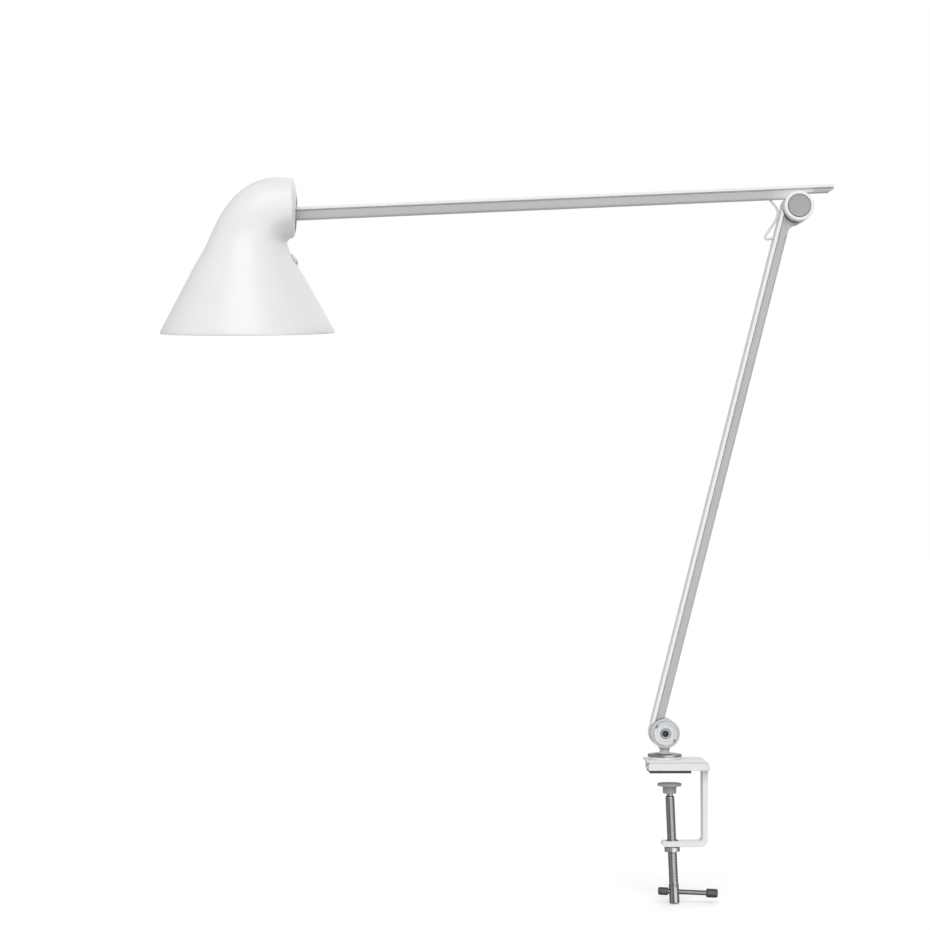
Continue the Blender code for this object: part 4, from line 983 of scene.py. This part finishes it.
loopPath = smoothPath(knots)
loopLength = sum((q - p).length for p, q in zip(loopPath, loopPath[1:]))
loopMesh = tube("loop", loopPath, cableForm["radius"], None, cableForm["sides"])
loop = piece("cableLoop", loopMesh, finish["jacket"], None, "cable_elbow_loop", slot="cable_jacket", edge=60)
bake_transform(loop)
print("cable loop", round(loopLength / mm, 1), "mm")

# domed cover in the neck's mouth, with a round opening that the arm swings in
coverForm = {"radius": 22.2, "lipRadius": 23.6, "rise": 5.8, "opening": 15.0}
coverAt = headAt @ move(z=coverForm["rise"] * mm) @ alongX
lip, rimEdge = coverForm["lipRadius"], coverForm["radius"]
dome = [(0, 20.9), (6, 20.85), (11, 20.55), (15, 20.05), (18.4, 19.35), (21.2, 18.5), (lip, 17.75)]
dome += [(lip, 17.4), (rimEdge, 17.2), (19.0, 17.5), (14.8, 18.5), (8.8, 19.2), (0, 19.4)]
opening = [(0, 30), (coverForm["opening"], 30), (coverForm["opening"], 10), (0, 10)]
coverMesh = carved("cover", lathe("cover", dome, coverAt, 0.4 * mm, 128, 3),
                   [("DIFFERENCE", lathe("opening", opening, headAt @ alongX, 0.0, 128))])
piece("neckCoverDome", coverMesh, finish["palePaint"], "head", "neck_cover", slot="painted_aluminium",
      bevel=0.25 * mm)

# light source under the shade, and the push switch on its back
lightForm = {
    "diffuserRadius": 44.8, "top": -62.3, "low": -64.5, "ripples": 22, "rippleDepth": 0.16, "ringLow": -66.6,
    "ringInset": 2.5,
}
top, low, rippleTop = lightForm["top"], lightForm["low"], lightForm["low"] + lightForm["rippleDepth"]
lensAt = headAt @ move(layout["shadeAxis"])
lens = [(0, top), (lightForm["diffuserRadius"], top), (lightForm["diffuserRadius"], low)]
for i in range(lightForm["ripples"]):
    outer = 41.6 * (1 - i / lightForm["ripples"])
    lens += [(outer, low), (outer - 0.95, rippleTop)]
lens += [(0, rippleTop)]
lens = [q for q in lens if q[0] >= 0.0]
piece("diffuserLens", lathe("lens", lens, lensAt, 0.3 * mm, 96, 2), finish["opal"], "head", "diffuser",
      slot="opal_plastic")
inset, ringLow = lightForm["ringInset"], lightForm["ringLow"]
ringProfile = [(coneRadius(top) - inset, top), (coneRadius(ringLow) - inset, ringLow), (42.0, ringLow)]
ringProfile += [(42.0, -64.8), (45.1, -64.8), (45.1, top)]
piece("diffuserRetainer", lathe("retainer", ringProfile, lensAt, 0.4 * mm, 128, 4), finish["palePlastic"],
      "head", "diffuser_ring", slot="pale_plastic")
bezel = [(5.1, 0.75), (5.6, 0.25), (4.9, 0.25), (4.9, -2.3), (4.0, -2.3), (4.0, 0.75)]
piece("switchBezelRing", lathe("bezel", bezel, switchAt, 0.25 * mm, 64), finish["bezelPlastic"], "head",
      "switch_bezel", slot="grey_plastic")
button = [(0, 1.7), (1.5, 1.75), (2.9, 1.9), (3.7, 1.6), (3.7, -1.0), (2.0, -1.0), (2.0, -6.0), (0, -6.0)]
piece("switchPushButton", lathe("button", button, switchAt, 0.5 * mm, 64, 4), finish["palePlastic"], "button",
      "switch_button", slot="pale_plastic")

# the rest keep their design shape and get their finish
refinish(finish["zinc"], "stem_washer", "stem_screw", "base_pivot_spring_washer", "elbow_spring_washer",
         "base_pivot_nut", "elbow_nut", "tilt_nut", "tilt_washer_front", "tilt_washer_rear",
         "bracket_screw_left", "bracket_screw_right", bevel=0.12 * mm)
refinish(finish["nylon"], "stem_sleeve", "base_pivot_friction_washer",
         "elbow_friction_washer", "swivel_bush", bevel=0.12 * mm)
refinish(finish["darkSteel"], "elbow_bolt", "tilt_bolt", bevel=0.15 * mm)
refinish(finish["pinAlloy"], "swivel_pin", bevel=0.2 * mm)
refinish(finish["bracketAlloy"], "head_bracket", bevel=0.3 * mm)
refinish(finish["sinkAlloy"], "led_heat_sink", bevel=0.2 * mm)
refinish(finish["reflectorAlloy"], "reflector")
refinish(finish["board"], "led_board", bevel=0.2 * mm)
refinish(finish["phosphor"], "led_array", bevel=0.2 * mm)
refinish(finish["blackPlastic"], "switch_body", bevel=0.2 * mm)
refinish(finish["jacket"], "cable_upper_run", "cable_lower_run")
print("pieces done")

# camera
view = {
    "at": (-0.20348, -1.8, 0.18858),
    "up": math.radians(91.9467),
    "right": math.radians(-1.2984),
    "lens": 85.4,
}
cameraData = bpy.data.cameras.new("camera")
cameraData.lens = view["lens"]
cameraData.sensor_width = 36.0
cameraData.clip_start = 0.05
cameraData.clip_end = 60.0
camera = bpy.data.objects.new("camera", cameraData)
camera.location = view["at"]
camera.rotation_euler = (view["up"], 0.0, view["right"])
scene.collection.objects.link(camera)
scene.camera = camera

# soft studio: a broad key from above the front, weaker suns from both sides and the back, and a pale floor
studio = {
    "suns": (
        ("keyLight", (-0.06, -0.82, 0.66), 48.0, 1.5),
        ("leftLight", (-0.90, -0.35, 0.10), 60.0, 0.4),
        ("rightLight", (0.90, -0.50, 0.05), 60.0, 0.32),
        ("backLight", (0.45, 0.85, 0.55), 60.0, 0.5),
    ),
    "ambient": 0.5,
    "softboxWay": (0.42, -0.88, -0.14),
    "softboxSpread": 56.0,
    "softboxPower": 2.6,
    "background": 1.0,
    "floorTone": 0.93,
    "floorLift": 0.2,
}
for name, fromWay, spread, power in studio["suns"]:
    light = bpy.data.lights.new(name, "SUN")
    light.angle = math.radians(spread)
    light.energy = power
    lamp = bpy.data.objects.new(name, light)
    lamp.location = Vector(fromWay) * 3.0
    lamp.rotation_euler = (-Vector(fromWay)).to_track_quat("-Z", "Y").to_euler()
    scene.collection.objects.link(lamp)

world = bpy.data.worlds.new("studio")
scene.world = world
world.use_nodes = True
world.node_tree.nodes.clear()
sky = Nodes(world.node_tree)
# a softbox to the right of the front, seen only by glossy rays
skyPlace = sky.add("ShaderNodeTexCoord", output="Generated")
facing = sky.add("ShaderNodeVectorMath", {"operation": "DOT_PRODUCT"},
                 {0: skyPlace, 1: Vector(studio["softboxWay"]).normalized()}, "Value")
halfSpread = studio["softboxSpread"] / 2
boxEdge = sky.add("ShaderNodeMapRange", None, {
    "Value": facing,
    "From Min": math.cos(math.radians(halfSpread + 5)),
    "From Max": math.cos(math.radians(halfSpread)),
})
boxPower = boxEdge * sky.add("ShaderNodeLightPath", output="Is Glossy Ray") * studio["softboxPower"]
around = sky.add("ShaderNodeBackground", None, {
    "Color": (0.98, 0.985, 0.995, 1.0), "Strength": boxPower + studio["ambient"],
})
behind = sky.add("ShaderNodeBackground", None, {
    "Color": (1.0, 1.0, 1.0, 1.0), "Strength": studio["background"],
})
onCamera = sky.add("ShaderNodeLightPath", output="Is Camera Ray")
chosen = sky.add("ShaderNodeMixShader", None, {"Fac": onCamera, 1: around, 2: behind})
sky.add("ShaderNodeOutputWorld", None, {"Surface": chosen})

floorGraph = Graph("paleFloor")
floorTone = studio["floorTone"]
floorPatch = floorGraph.blendColour(floorGraph.noise(3.0), (floorTone,) * 3, (floorTone - 0.015,) * 3)
floorGraph.feed(Base_Color=floorPatch, Roughness=0.9)
floorGraph.feed(Emission_Color=(1.0, 1.0, 1.0, 1.0), Emission_Strength=studio["floorLift"])
floorMesh = meshOf("floor", [(-30, -30, 0), (30, -30, 0), (30, 30, 0), (-30, 30, 0)], [(0, 1, 2, 3)])
floor = bpy.data.objects.new("floor", floorMesh)
floor.location.z = cadLow.z - 0.0005
floorMesh.materials.append(floorGraph.material)
scene.collection.objects.link(floor)
floor.visible_diffuse = False
floor.visible_glossy = False
floor.visible_shadow = False
scene.view_settings.view_transform = "Standard"

print("scene ready")
